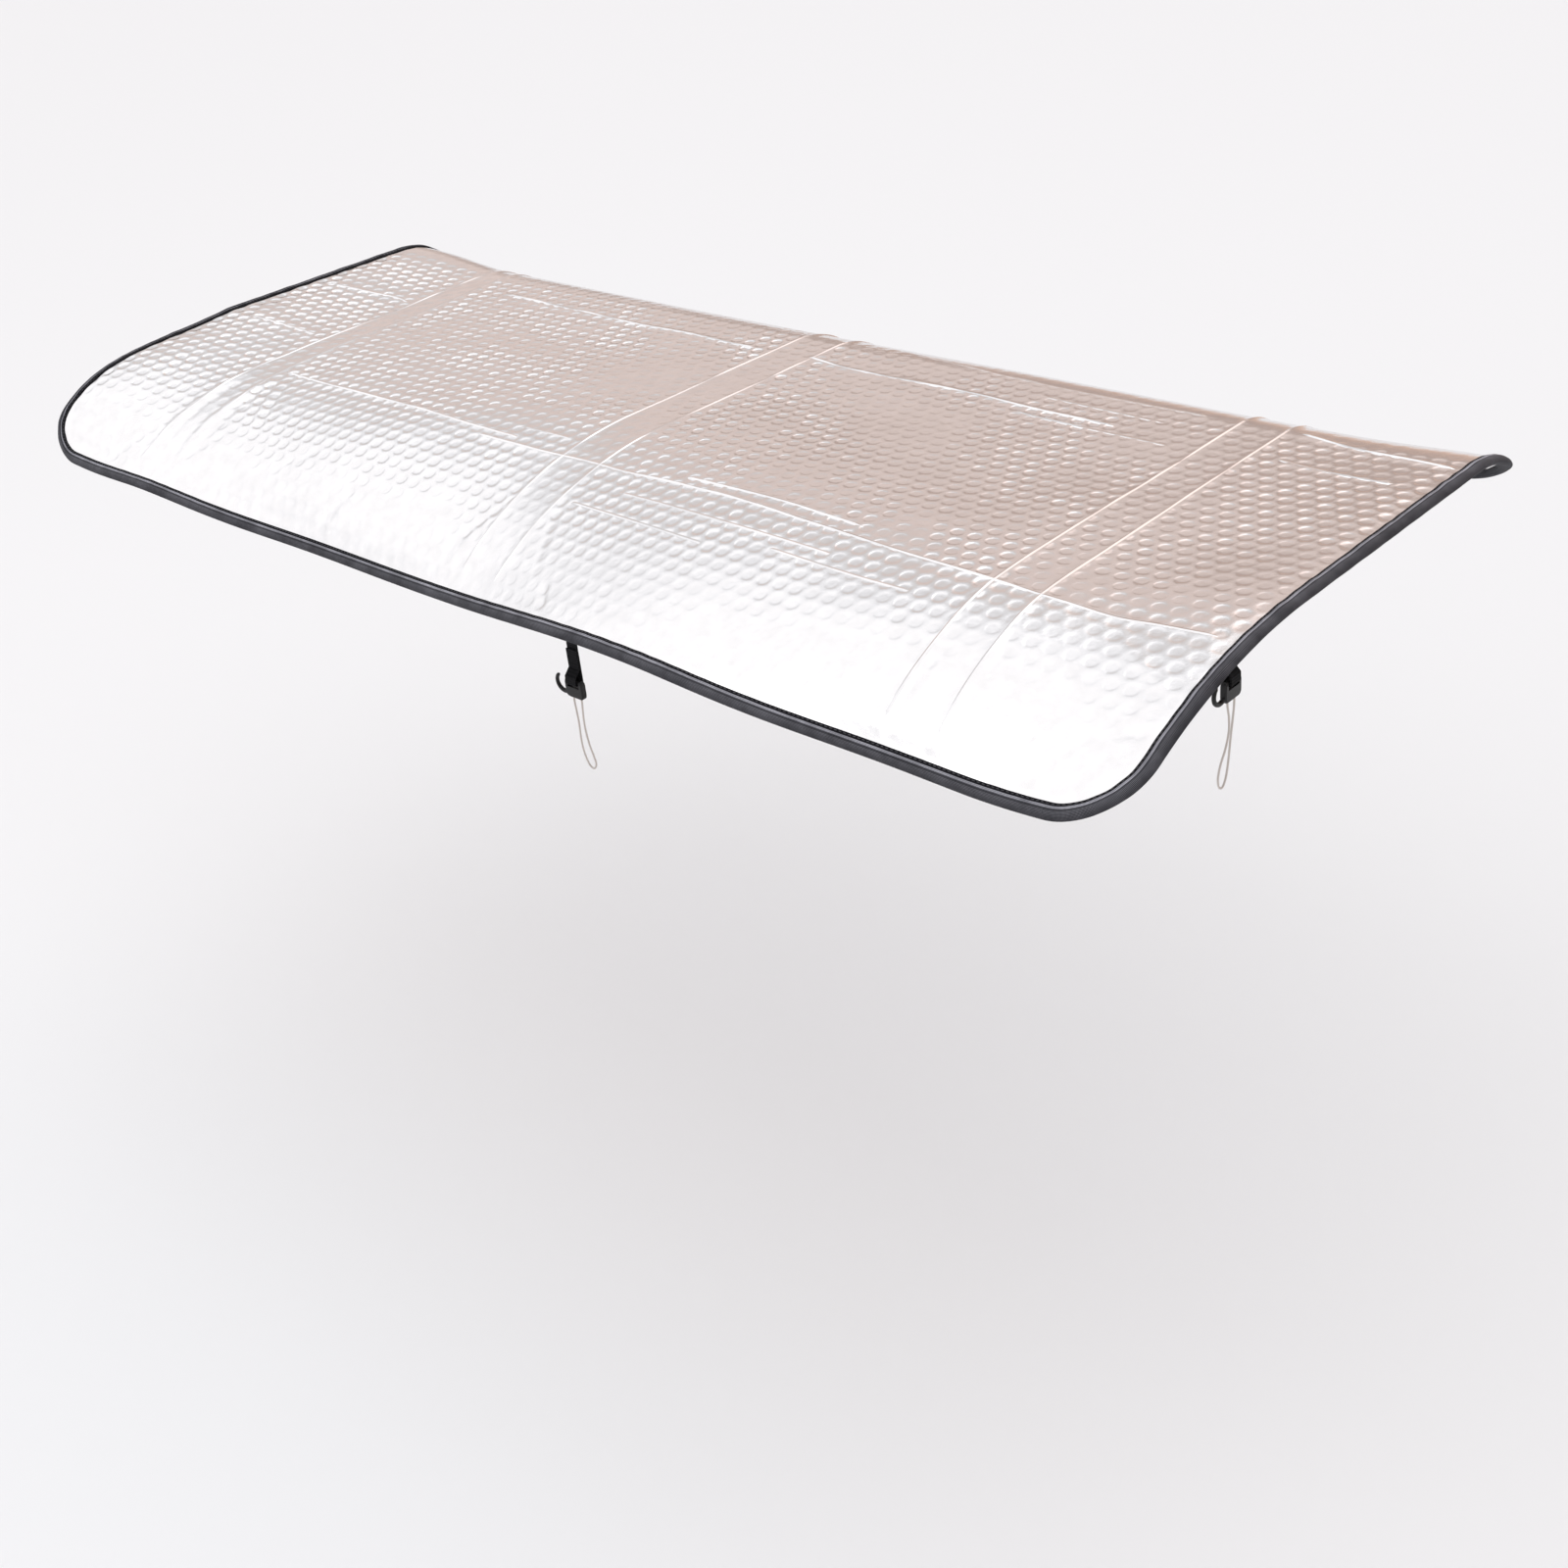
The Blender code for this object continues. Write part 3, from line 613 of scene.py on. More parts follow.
def makeElastic():
    material, tree, shader, coordinates = newMaterial("braidedElastic", Roughness=0.6)
    braid = addNode(tree, "ShaderNodeTexWave", (-4, 0), bands_direction="DIAGONAL",
                    Vector=coordinates.outputs["Object"], Scale=elasticLook["braidScale"], Distortion=1.0)
    paint(tree, shader, braid.outputs["Fac"], elasticLook)
    bumpInto(tree, shader, (-2, 3), braid.outputs["Fac"], elasticLook["strength"], elasticLook["depth"])
    return material


foil, tapeCloth, thread = makeFoil(), makeTapeCloth(), makeThread()
webbing, moulded, elastic = makeWebbing(), makeMoulded(), makeElastic()
print("materials ready")

# Elastic ties: thin loops that hang from the clips, first among the pieces
ties = {
    "diameter": 1.3 * mm, "steps": 160, "clipHeight": 0.014,
    "frontFixing": {"x": 0.001, "y": -0.1475, "clipTop": -0.1425},
    "sideFixing": {"x": 0.421, "y": -0.0105, "clipTop": -0.086},
    # places along each loop in mm: across the clip, out from it, and down from its foot
    "frontRoute": (
        (-3.5, 0.0, -0.3), (-3.4, 0.2, -4.0), (-2.2, 0.8, -11.0), (-0.8, 1.6, -19.0), (-0.6, 2.2, -28.0),
        (-0.2, 2.4, -37.0), (0.8, 2.0, -45.0), (3.0, 1.4, -51.6), (6.0, 0.6, -53.6), (7.3, -0.6, -50.4),
        (5.6, -1.0, -44.6), (3.4, -0.9, -37.0), (2.3, -0.6, -28.0), (2.2, -0.4, -19.0), (3.0, -0.2, -11.0),
        (4.0, 0.0, -4.0), (4.0, 0.0, -0.3),
    ),
    "sideRoute": (
        (-3.5, 0.0, -0.3), (-3.6, 0.3, -4.0), (-3.0, 0.9, -11.0), (-3.8, 1.4, -20.0), (-7.4, 1.6, -29.0),
        (-12.4, 1.4, -38.0), (-14.0, 0.9, -46.5), (-11.8, 0.4, -53.4), (-7.4, 0.0, -55.4),
        (-3.4, -0.3, -50.8), (-0.6, -0.5, -41.0), (1.0, -0.5, -30.0), (2.4, -0.4, -20.0), (3.6, -0.2, -11.0),
        (4.0, 0.0, -4.0), (4.0, 0.0, -0.3),
    ),
}


def tieLine(route, fixing, across, out):
    # a smooth curve through the route's places
    low = Vector((fixing["x"], fixing["y"], fixing["clipTop"] - ties["clipHeight"]))
    stops = [low + across * (a * mm) + out * (o * mm) + Vector((0, 0, h * mm)) for a, o, h in route]
    line = []
    for k in range(ties["steps"] + 1):
        t = k / ties["steps"] * (len(stops) - 1)
        i = min(int(t), len(stops) - 2)
        t -= i
        a, b, c, d = (stops[min(max(i + n, 0), len(stops) - 1)] for n in (-1, 0, 1, 2))
        square, cube = 2 * a - 5 * b + 4 * c - d, 3 * b - a - 3 * c + d
        line.append(0.5 * (2 * b + (c - a) * t + square * t**2 + cube * t**3))
    return line


def makeTie(side, across, out):
    name = side + "TieLoop"
    line = tieLine(ties[side + "Route"], ties[side + "Fixing"], Vector(across), Vector(out))
    curve = bpy.data.curves.new(name, "CURVE")
    curve.dimensions = "3D"
    curve.bevel_depth = ties["diameter"] / 2
    curve.bevel_resolution = 3
    curve.use_fill_caps = True
    spline = curve.splines.new("POLY")
    spline.points.add(len(line) - 1)
    for point, place in zip(spline.points, line):
        point.co = (*place, 1)
    curve.materials.append(elastic)
    obj = bpy.data.objects.new(name, curve)
    scene.collection.objects.link(obj)
    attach(obj, body)
    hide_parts(side + "_tie")


makeTie("front", (1, 0, 0), (0, -1, 0))
makeTie("side", (0, 1, 0), (1, 0, 0))

# The foil sheet: a thin closed sheet with its relief on top
sheetMesh = {"spacing": 4.5 * mm, "cornerCells": 10, "filmGap": 1.3 * mm, "underShare": 0.8}


def gridLines(half):
    corner = half - lie["corner"]
    cells = lie["corner"] * np.arange(1, sheetMesh["cornerCells"] + 1) / sheetMesh["cornerCells"]
    middle = np.linspace(-corner, corner, round(2 * corner / sheetMesh["spacing"]) + 1)
    return np.concatenate([-corner - cells[::-1], middle, corner + cells])


def roundCorners(u, v):
    # moves the square grid's corners on to quarter rounds
    cornerU, cornerV = lie["width"] / 2 - lie["corner"], lie["depth"] / 2 - lie["corner"]
    s = np.maximum(np.abs(u) - cornerU, 0) / lie["corner"]
    t = np.maximum(np.abs(v) - cornerV, 0) / lie["corner"]
    inCorner = (s > 0) & (t > 0)
    uRound = np.sign(u) * (cornerU + lie["corner"] * s * np.sqrt(1 - t * t / 2))
    vRound = np.sign(v) * (cornerV + lie["corner"] * t * np.sqrt(1 - s * s / 2))
    return np.where(inCorner, uRound, u), np.where(inCorner, vRound, v)


def makeFoilSheet():
    columns, rows = gridLines(lie["width"] / 2), gridLines(lie["depth"] / 2)
    u, v = np.meshgrid(columns, rows)
    u, v = roundCorners(u.ravel(), v.ravel())
    height = foilRelief(u, v)
    top = wrap(u, v, lie["thickness"] - sheetMesh["filmGap"] + height)
    under = wrap(u, v, height * sheetMesh["underShare"])
    width, count = len(columns), len(u)
    i, j = np.meshgrid(np.arange(width - 1), np.arange(len(rows) - 1))
    a = (j * width + i).ravel()
    upper = np.stack([a, a + 1, a + width + 1, a + width], axis=1)
    lower = upper[:, ::-1] + count
    rim = np.concatenate([
        np.arange(width - 1), np.arange(len(rows) - 1) * width + width - 1,
        (len(rows) - 1) * width + np.arange(width - 1, 0, -1), np.arange(len(rows) - 1, 0, -1) * width,
    ])
    after = np.roll(rim, -1)
    side = np.stack([after, rim, rim + count, after + count], axis=1)
    return meshFrom("foilSheet", np.concatenate([top, under]), np.concatenate([upper, lower, side]), foil)


foilSheet = makeFoilSheet()
print("foil sheet ready:", len(foilSheet.data.polygons), "faces")

# The film over the air bubbles: a sheet of six-sided cells, each with its round sunk a little
film = {
    "pitch": 12.1 * mm, "radius": 4.8 * mm, "depth": 0.50 * mm, "least": 0.65, "most": 1.25, "seed": 5,
    "sides": 12, "rings": 5, "weld": 0.05 * mm, "inset": 3.0 * mm, "splits": (-0.6, -0.165, 0.165, 0.6),
    "slack": 0.4, "slackLength": 38 * mm, "slackSeed": 31,
    "crushed": 0.15, "crushReach": (1 * mm, 5 * mm), "betweenCreases": (0.4, 0.4, 0.75),
    "frontReach": (-185 * mm, -135 * mm), "frontShare": 0.35,
    "backReach": (135 * mm, 165 * mm), "backShare": 0.15, "edgeReach": (7.5 * mm, 12.5 * mm),
    "patchCore": 0.4, "patchSquash": 0.8,
}
# Places where the film lies nearly smooth: u, v and reach in mm, and the share of the depth that is left
smoothPatches = (
    (-70, 40, 60, 0.45), (150, 60, 55, 0.4), (95, 115, 60, 0.45), (-120, 125, 60, 0.6),
    (-90, -20, 45, 0.8), (300, 105, 40, 0.6), (80, 60, 35, 0.7), (430, -105, 80, 0.7),
)
# How deep the rounds lie along the sheet: u in mm, and the share of the depth
deepPlaces = np.array(((-495, 1.5), (-230, 1.35), (-60, 1.1), (60, 1.0), (200, 0.8), (495, 0.68)))
# How wide and how deep each ring of a cell is, from its middle out; the last is the cell's outline
cellRings = ((0.0, -1.0), (0.42, -0.98), (0.70, -0.87), (0.87, -0.50), (1.0, 0.0), (1.0, 0.0))


def makeFilmTree():
    tree, start, end = newTree("filmCells", (
        "From", "To", "Half Width", "Half Depth", "Corner", "Pitch", "Radius", "Depth", "Least", "Most"))
    given = start.outputs

    def doMath(operation, place, *inputs):
        return mathNode(tree, operation, place, *inputs)

    def combine(place, **values):
        return addNode(tree, "ShaderNodeCombineXYZ", place, **values).outputs[0]

    def takeApart(line):
        # the coordinates of the places that a node works on
        place = addNode(tree, "GeometryNodeInputPosition", (1, line))
        return addNode(tree, "ShaderNodeSeparateXYZ", (2, line), Vector=place.outputs[0]).outputs

    # a grid of cell middles, with every other row shifted by half a pitch
    rowPitch = doMath("MULTIPLY", (0, 0), given["Pitch"], math.sqrt(3) / 2)
    columns = 2 * math.ceil(lie["width"] / film["pitch"] / 2) + 3
    rows = 2 * math.ceil(lie["depth"] / film["pitch"] / math.sqrt(3)) + 1
    grid = addNode(tree, "GeometryNodeMeshGrid", (1, 0), Vertices_X=columns, Vertices_Y=rows,
                   Size_X=doMath("MULTIPLY", (0, 1), given["Pitch"], columns - 1),
                   Size_Y=doMath("MULTIPLY", (0, 2), rowPitch, rows - 1))
    middle = takeApart(2)
    row = doMath("ROUND", (3, 3), doMath("DIVIDE", (2, 3), middle["Y"], rowPitch))
    halfPitch = doMath("DIVIDE", (2, 4), given["Pitch"], 2)
    shift = doMath("MULTIPLY", (5, 3), doMath("FLOORED_MODULO", (4, 3), row, 2), halfPitch)
    moved = addNode(tree, "GeometryNodeSetPosition", (6, 0), Geometry=grid.outputs["Mesh"],
                    Offset=combine((6, 3), X=shift))

    # cells outside the cover's outline, or outside this piece's stretch, are left out
    squares = []
    for line, (axis, half) in enumerate((("X", "Half Width"), ("Y", "Half Depth")), 5):
        straight = doMath("SUBTRACT", (3, line), given[half], given["Corner"])
        past = doMath("SUBTRACT", (5, line), doMath("ABSOLUTE", (4, line), middle[axis]), straight)
        past = doMath("MAXIMUM", (6, line), past, 0.0)
        squares.append(doMath("MULTIPLY", (7, line), past, past))
    square = doMath("ADD", (8, 5), *squares)
    far = doMath("GREATER_THAN", (10, 5), doMath("SQRT", (9, 5), square), given["Corner"])
    before = doMath("LESS_THAN", (8, 7), middle["X"], given["From"])
    past = doMath("SUBTRACT", (9, 8), 1.0, doMath("LESS_THAN", (8, 8), middle["X"], given["To"]))
    outside = doMath("MAXIMUM", (11, 5), far, doMath("MAXIMUM", (10, 7), before, past))
    trimmed = addNode(tree, "GeometryNodeDeleteGeometry", (12, 0), domain="POINT",
                      Geometry=moved.outputs[0], Selection=outside)

    # one cell: a cone's rings, moved to their widths and depths, and its outermost ring made six-sided
    cone = addNode(tree, "GeometryNodeMeshCone", (1, 10), fill_type="NONE", Vertices=film["sides"],
                   Side_Segments=film["rings"], Radius_Top=0.0, Radius_Bottom=1.0, Depth=1.0)
    x, y = takeApart(12)[:2]
    squares = [doMath("MULTIPLY", (3, 12 + k), side, side) for k, side in enumerate((x, y))]
    reach = doMath("SQRT", (5, 12), doMath("ADD", (4, 12), *squares))
    angle = doMath("ARCTAN2", (3, 14), y, x)
    sixth = math.pi / 3
    turned = doMath("FLOORED_MODULO", (5, 14), doMath("ADD", (4, 14), angle, sixth / 2), sixth)
    turned = doMath("SUBTRACT", (6, 14), turned, sixth / 2)
    outline = doMath("DIVIDE", (8, 14), halfPitch, doMath("COSINE", (7, 14), turned))
    nearly = 0.02
    width, depth = 0.0, 0.0
    for k, (ringWidth, ringDepth) in enumerate(cellRings[:-1]):
        here = doMath("COMPARE", (6, 16 + k), reach, k / film["rings"], nearly)
        width = doMath("MULTIPLY_ADD", (7, 16 + k), here, ringWidth, width)
        depth = doMath("MULTIPLY_ADD", (8, 16 + k), here, ringDepth, depth)
    rim = doMath("GREATER_THAN", (9, 13), reach, 1 - nearly)
    wide = doMath("MULTIPLY_ADD", (10, 13), outline, rim, doMath("MULTIPLY", (9, 16), width, given["Radius"]))
    x, y = (doMath("MULTIPLY", (11, 13 + k), doMath(wave, (10, 14 + k), angle), wide)
            for k, wave in enumerate(("COSINE", "SINE")))
    pressed = combine((12, 13), X=x, Y=y, Z=doMath("MULTIPLY", (11, 15), depth, given["Depth"]))
    cell = addNode(tree, "GeometryNodeSetPosition", (13, 10), Geometry=cone.outputs["Mesh"], Position=pressed)

    # some rounds have sunk more than others
    sunk = chanceBetween(tree, (13, 2), given["Least"], given["Most"], given["Seed"])
    copies = addNode(tree, "GeometryNodeInstanceOnPoints", (14, 0), Points=trimmed.outputs[0],
                     Instance=cell.outputs[0], Scale=combine((14, 2), X=1.0, Y=1.0, Z=sunk))
    closeTree(tree, copies.outputs[0], given["Material"], end, 15, film["weld"])
    return tree


def madeByNodes(name, tree, source, **values):
    # runs a tree on a source mesh and keeps what it makes as a plain mesh
    carrier = bpy.data.objects.new(name + "Source", source)
    scene.collection.objects.link(carrier)
    modifier = carrier.modifiers.new(name, "NODES")
    modifier.node_group = tree
    for item in tree.interface.items_tree:
        key = item.name.replace(" ", "_")
        if item.in_out == "INPUT" and key in values:
            modifier[item.identifier] = values[key]
    graph = bpy.context.evaluated_depsgraph_get()
    mesh = bpy.data.meshes.new_from_object(
        carrier.evaluated_get(graph), preserve_all_data_layers=True, depsgraph=graph)
    bpy.data.objects.remove(carrier)
    mesh.name = name
    obj = bpy.data.objects.new(name, mesh)
    scene.collection.objects.link(obj)
    return obj


def flatPoints(obj):
    points = np.zeros(len(obj.data.vertices) * 3, np.float32)
    obj.data.vertices.foreach_get("co", points)
    return points.reshape(-1, 3).astype(float)


def setPoints(obj, points):
    obj.data.vertices.foreach_set("co", points.astype(np.float32).ravel())
    obj.data.update()


def keepInside(u, v):
    # draws places past the film's edge back on to it
    w, d = lie["width"] / 2 - film["inset"], lie["depth"] / 2 - film["inset"]
    r = lie["corner"] - film["inset"]
    u, v = np.clip(u, -w, w), np.clip(v, -d, d)
    outU, outV = np.maximum(np.abs(u) - (w - r), 0), np.maximum(np.abs(v) - (d - r), 0)
    reach = np.hypot(outU, outV)
    scale = np.where(reach > r, r / np.maximum(reach, 1e-9), 1.0)
    cornerU, cornerV = np.sign(u) * (w - r + outU * scale), np.sign(v) * (d - r + outV * scale)
    inCorner = (outU > 0) & (outV > 0)
    return np.where(inCorner, cornerU, u), np.where(inCorner, cornerV, v)


def sinkShare(u, v):
    # the rounds are pressed flat at the creases, between paired creases and at the binding
    share = film["crushed"] + (1 - film["crushed"]) * easeOver(creaseNearness(u, v), film["crushReach"])
    for row, partner, between in zip(acrossCreases[::2], acrossCreases[1::2], film["betweenCreases"]):
        share = np.where(betweenCreases(u, v, row, partner), share * between, share)
    for placeU, placeV, reach, kept in smoothPatches:
        reach = reach * mm
        far = np.hypot((u - placeU * mm) / reach, (v - placeV * mm) / (reach * film["patchSquash"]))
        share = share * (kept + (1 - kept) * ease(far - film["patchCore"]))
    share = share * (film["frontShare"] + (1 - film["frontShare"]) * easeOver(v, film["frontReach"]))
    share = share * (1 - (1 - film["backShare"]) * easeOver(v, film["backReach"]))
    share = share * easeOver(edgeDistance(u, v), film["edgeReach"])
    slack = smoothNoise(u / film["slackLength"], v / film["slackLength"], film["slackSeed"])
    return share * (1 + film["slack"] * slack) * np.interp(u / mm, deepPlaces[:, 0], deepPlaces[:, 1])


def makeFilm():
    made = []
    tree = makeFilmTree()
    names = ("filmLeft", "filmMiddle", "filmRight")
    for name, low, high in zip(names, film["splits"], film["splits"][1:]):
        obj = madeByNodes(
            name, tree, bpy.data.meshes.new(name + "Empty"), From=low, To=high, Half_Width=lie["width"] / 2,
            Half_Depth=lie["depth"] / 2, Corner=lie["corner"], Pitch=film["pitch"], Radius=film["radius"],
            Depth=film["depth"], Least=film["least"], Most=film["most"], Seed=film["seed"], Material=foil)
        points = flatPoints(obj)
        u, v = keepInside(points[:, 0], points[:, 1])
        height = lie["thickness"] + foilRelief(u, v) + points[:, 2] * sinkShare(u, v)
        setPoints(obj, wrap(u, v, height))
        print(name, "ready:", len(obj.data.polygons), "faces")
        made.append(obj)
    return made


filmPieces = makeFilm()

# Sharp crests along the packet creases
crest = {
    "spacing": 4 * mm, "least": 0.75, "uneven": 0.45, "unevenLength": 22 * mm, "seed": 50,
    # across the crease and up from the foil, in mm; how far all of it sinks along the crease and at its ends
    "profile": ((-2.0, -0.9), (-1.15, 0.02), (0.0, 0.60), (1.15, 0.02), (2.0, -0.9)),
    "sink": 0.03 * mm, "endSink": 1.03 * mm,
}


def crestStrip(row, across, seed):
    # one crease's crest: where its places lie on the flat sheet, how high they stand, and its faces
    strength, low, high, course = creaseCourse(row)
    count = round((high - low) / crest["spacing"])
    along = np.linspace(low, high, count + 1)
    noise = smoothNoise(along / crest["unevenLength"], along * 0 + 3 * seed, seed + crest["seed"])
    ends = creaseEnds(along, low, high)
    rise = strength * (crest["least"] + crest["uneven"] * noise) * ends
    offsets, heights = np.array(crest["profile"]).T * mm
    run = np.repeat(along, len(offsets))
    aside = (course(along)[:, None] + offsets[None]).ravel()
    height = rise[:, None] * np.maximum(heights, 0)[None] + np.minimum(heights, 0)[None]
    height = (height - (crest["endSink"] + (crest["sink"] - crest["endSink"]) * ends)[:, None]).ravel()
    u, v = (aside, run) if across else (run, aside)
    n = len(offsets)
    i, k = np.meshgrid(np.arange(count), np.arange(n - 1), indexing="ij")
    a = (i * n + k).ravel()
    faces = np.stack([a, a + 1, a + n + 1, a + n], axis=1)
    return u, v, height, faces if across else faces[:, ::-1]


def makeCrests():
    points, faces, total = [], [], 0
    lines = [(row, True) for row in acrossCreases] + [(row, False) for row in alongCreases]
    for seed, (row, across) in enumerate(lines):
        u, v, height, strip = crestStrip(row, across, seed)
        points.append(wrap(u, v, lie["thickness"] + foilRelief(u, v) + height))
        faces.append(strip + total)
        total += len(u)
    return meshFrom("creaseCrests", np.concatenate(points), np.concatenate(faces), foil, False)


creaseCrests = makeCrests()
print("creases ready")

# The binding: a folded tape round the edge, with a sewn groove and a crown
binding = {
    "spacing": 2.6 * mm,
    # across the tape from its inner hem outwards, and up from the sheet's mid thickness, in mm
    "profile": (
        (-7.0, 1.75), (-6.9, 2.15), (-6.5, 2.25), (-6.0, 1.98), (-5.6, 2.25), (-5.0, 2.72), (-4.4, 2.75),
        (-3.9, 2.45), (-3.5, 2.50), (-2.8, 2.85), (-1.8, 2.88), (-0.6, 2.52), (0.4, 1.98), (1.2, 1.28),
        (1.8, 0.50), (2.0, 0.0),
    ),
    # places across the tape's inner faces, in mm, and their gap to the sheet
    "innerPlaces": (-6.6, -3.0, 0.4), "innerGap": 0.05 * mm, "hemFold": 1.5 * mm,
    "stitchLine": -6.0 * mm, "stitchLength": 3.1 * mm, "stitchReach": 2.2 * mm, "pucker": 0.16 * mm,
    # soft unevenness along the tape: length, height and seed
    "sways": ((13 * mm, 0.125 * mm, 41), (5 * mm, 0.075 * mm, 42)),
}


def outlineRoute(spacing):
    # places round the flat sheet's edge, with the outward direction and the length so far
    w, d, r = lie["width"] / 2, lie["depth"] / 2, lie["corner"]
    places, outs = [], []
    corners = ((w - r, -d + r, -90), (w - r, d - r, 0), (-w + r, d - r, 90), (-w + r, -d + r, 180))
    for k, (cx, cy, start) in enumerate(corners):
        count = max(2, round(math.pi / 2 * r / spacing))
        for n in range(count):
            turn = math.radians(start + 90 * n / count)
            outs.append((math.cos(turn), math.sin(turn)))
            places.append((cx + r * math.cos(turn), cy + r * math.sin(turn)))
        turn = math.radians(start + 90)
        out = np.array((round(math.cos(turn), 6), round(math.sin(turn), 6)))
        here = np.array((cx, cy)) + out * r
        nextCentre = corners[(k + 1) % 4]
        there = np.array(nextCentre[:2]) + out * r
        count = max(2, round(np.linalg.norm(there - here) / spacing))
        for n in range(count):
            outs.append(tuple(out))
            places.append(tuple(here + (there - here) * n / count))
    places, outs = np.array(places), np.array(outs)
    steps = np.linalg.norm(np.roll(places, -1, axis=0) - places, axis=1)
    return places, outs, np.concatenate([[0], np.cumsum(steps)])


def makeBinding():
    places, outs, run = outlineRoute(binding["spacing"])
    upper = np.array(binding["profile"]) * mm
    lower = upper[-2::-1] * (1, -1)
    profile = np.concatenate([upper, lower])
    inner = np.array(binding["innerPlaces"]) * mm
    clear = np.full(len(inner), lie["thickness"] / 2 + binding["innerGap"])
    inside = np.concatenate([np.stack([inner, -clear], axis=1), np.stack([inner[::-1], clear], axis=1)])
    outside = np.concatenate([np.ones(len(profile)), np.zeros(len(inside))])
    profile = np.concatenate([profile, inside])
    count, rings = len(profile), len(places)
    along = np.repeat(run[:-1], count)
    across = np.tile(profile[:, 0], rings)
    up = np.tile(profile[:, 1], rings)
    u = np.repeat(places[:, 0], count) + np.repeat(outs[:, 0], count) * across
    v = np.repeat(places[:, 1], count) + np.repeat(outs[:, 1], count) * across
    beat = np.cos(2 * math.pi * along / binding["stitchLength"])
    nearStitch = np.exp(-(((across - binding["stitchLine"]) / binding["stitchReach"]) ** 2))
    swell = binding["pucker"] * beat * nearStitch
    for length, height, seed in binding["sways"]:
        swell = swell + height * smoothNoise(along / length, across * 0, seed)
    up = up + np.sign(up) * swell * np.tile(outside, rings)
    points = wrap(u, v, lie["thickness"] / 2 + up + foilRelief(u, v) * (across < 0))
    ring, k = np.meshgrid(np.arange(rings), np.arange(count), indexing="ij")
    here, there = ring * count, (ring + 1) % rings * count
    after = (k + 1) % count
    faces = np.stack([here + k, there + k, there + after, here + after], axis=-1).reshape(-1, 4)
    obj = meshFrom("bindingTape", points, faces, tapeCloth)
    around = np.concatenate([[0], np.cumsum(np.linalg.norm(np.diff(profile, axis=0), axis=1))])
    layer = obj.data.uv_layers.new(name="tapeMap")
    ends = np.stack([run[ring], run[ring + 1], run[ring + 1], run[ring]], axis=-1).reshape(-1)
    wide = np.append(around, around[-1] + binding["hemFold"])
    sides = np.stack([wide[k], wide[k], wide[k + 1], wide[k + 1]], axis=-1).reshape(-1)
    layer.data.foreach_set("uv", np.stack([ends, sides], axis=-1).astype(np.float32).ravel())
    return obj


bindingTape = makeBinding()
print("binding ready:", len(bindingTape.data.polygons), "faces")

# Lock stitches along the binding's groove, above and below
stitches = {
    "length": 2.5 * mm, "width": 0.62 * mm, "height": 0.5 * mm, "rise": 2.2 * mm, "sides": 6, "rings": 4,
    "shortest": 0.88, "longest": 1.08, "seed": 3, "pathSpacing": 1.5 * mm,
}


def makeStitchTree():
    tree, start, end = newTree("stitchRow", ("Spacing", "Length", "Width", "Height"))
    given = start.outputs
    path = addNode(tree, "GeometryNodeMeshToCurve", (1, 0), Mesh=given["Geometry"])
    even = addNode(tree, "GeometryNodeResampleCurve", (2, 0), mode="LENGTH", Curve=path.outputs[0],
                   Length=given["Spacing"])
    tangent = addNode(tree, "GeometryNodeInputTangent", (3, 2))
    kept = addNode(tree, "GeometryNodeCaptureAttribute", (2.5, 1))
    kept.capture_items.new("VECTOR", "Run")
    tree.links.new(even.outputs[0], kept.inputs[0])
    tree.links.new(tangent.outputs[0], kept.inputs[1])
    points = addNode(tree, "GeometryNodeCurveToPoints", (3, 0), mode="EVALUATED", Curve=kept.outputs[0])
    turn = addNode(tree, "FunctionNodeAlignRotationToVector", (4, 2), axis="X", Vector=kept.outputs[1])
    knot = addNode(tree, "GeometryNodeMeshUVSphere", (3, 3), Segments=stitches["sides"],
                   Rings=stitches["rings"], Radius=0.5)
    chance = chanceBetween(tree, (4, 4), stitches["shortest"], stitches["longest"], given["Seed"])
    size = addNode(tree, "ShaderNodeCombineXYZ", (4, 3), Y=given["Width"], Z=given["Height"],
                   X=mathNode(tree, "MULTIPLY", (5, 4), given["Length"], chance))
    copies = addNode(tree, "GeometryNodeInstanceOnPoints", (5, 0), Points=points.outputs[0],
                     Instance=knot.outputs["Mesh"], Rotation=turn.outputs[0], Scale=size.outputs[0])
    closeTree(tree, copies.outputs[0], given["Material"], end, 6)
    return tree


def makeStitches(name, tree, side):
    # side is 1 above the sheet and -1 below it
    places, outs = outlineRoute(stitches["pathSpacing"])[:2]
    line = places + outs * binding["stitchLine"]
    path = bpy.data.meshes.new(name + "Path")
    edges = [(k, (k + 1) % len(line)) for k in range(len(line))]
    path.from_pydata([(x, y, 0.0) for x, y in line], edges, [])
    obj = madeByNodes(
        name, tree, path, Spacing=binding["stitchLength"], Length=stitches["length"],
        Width=stitches["width"], Height=stitches["height"], Seed=stitches["seed"], Material=thread)
    u, v, up = flatPoints(obj).T
    height = lie["thickness"] / 2 + side * (stitches["rise"] + up) + foilRelief(u, v)
    setPoints(obj, wrap(u, v, height))
    if side < 0:
        obj.data.flip_normals()
    print(name, "ready:", len(obj.data.polygons), "faces")
    return obj


stitchTree = makeStitchTree()
topStitches = makeStitches("bindingStitchesTop", stitchTree, 1)
underStitches = makeStitches("bindingStitchesUnder", stitchTree, -1)

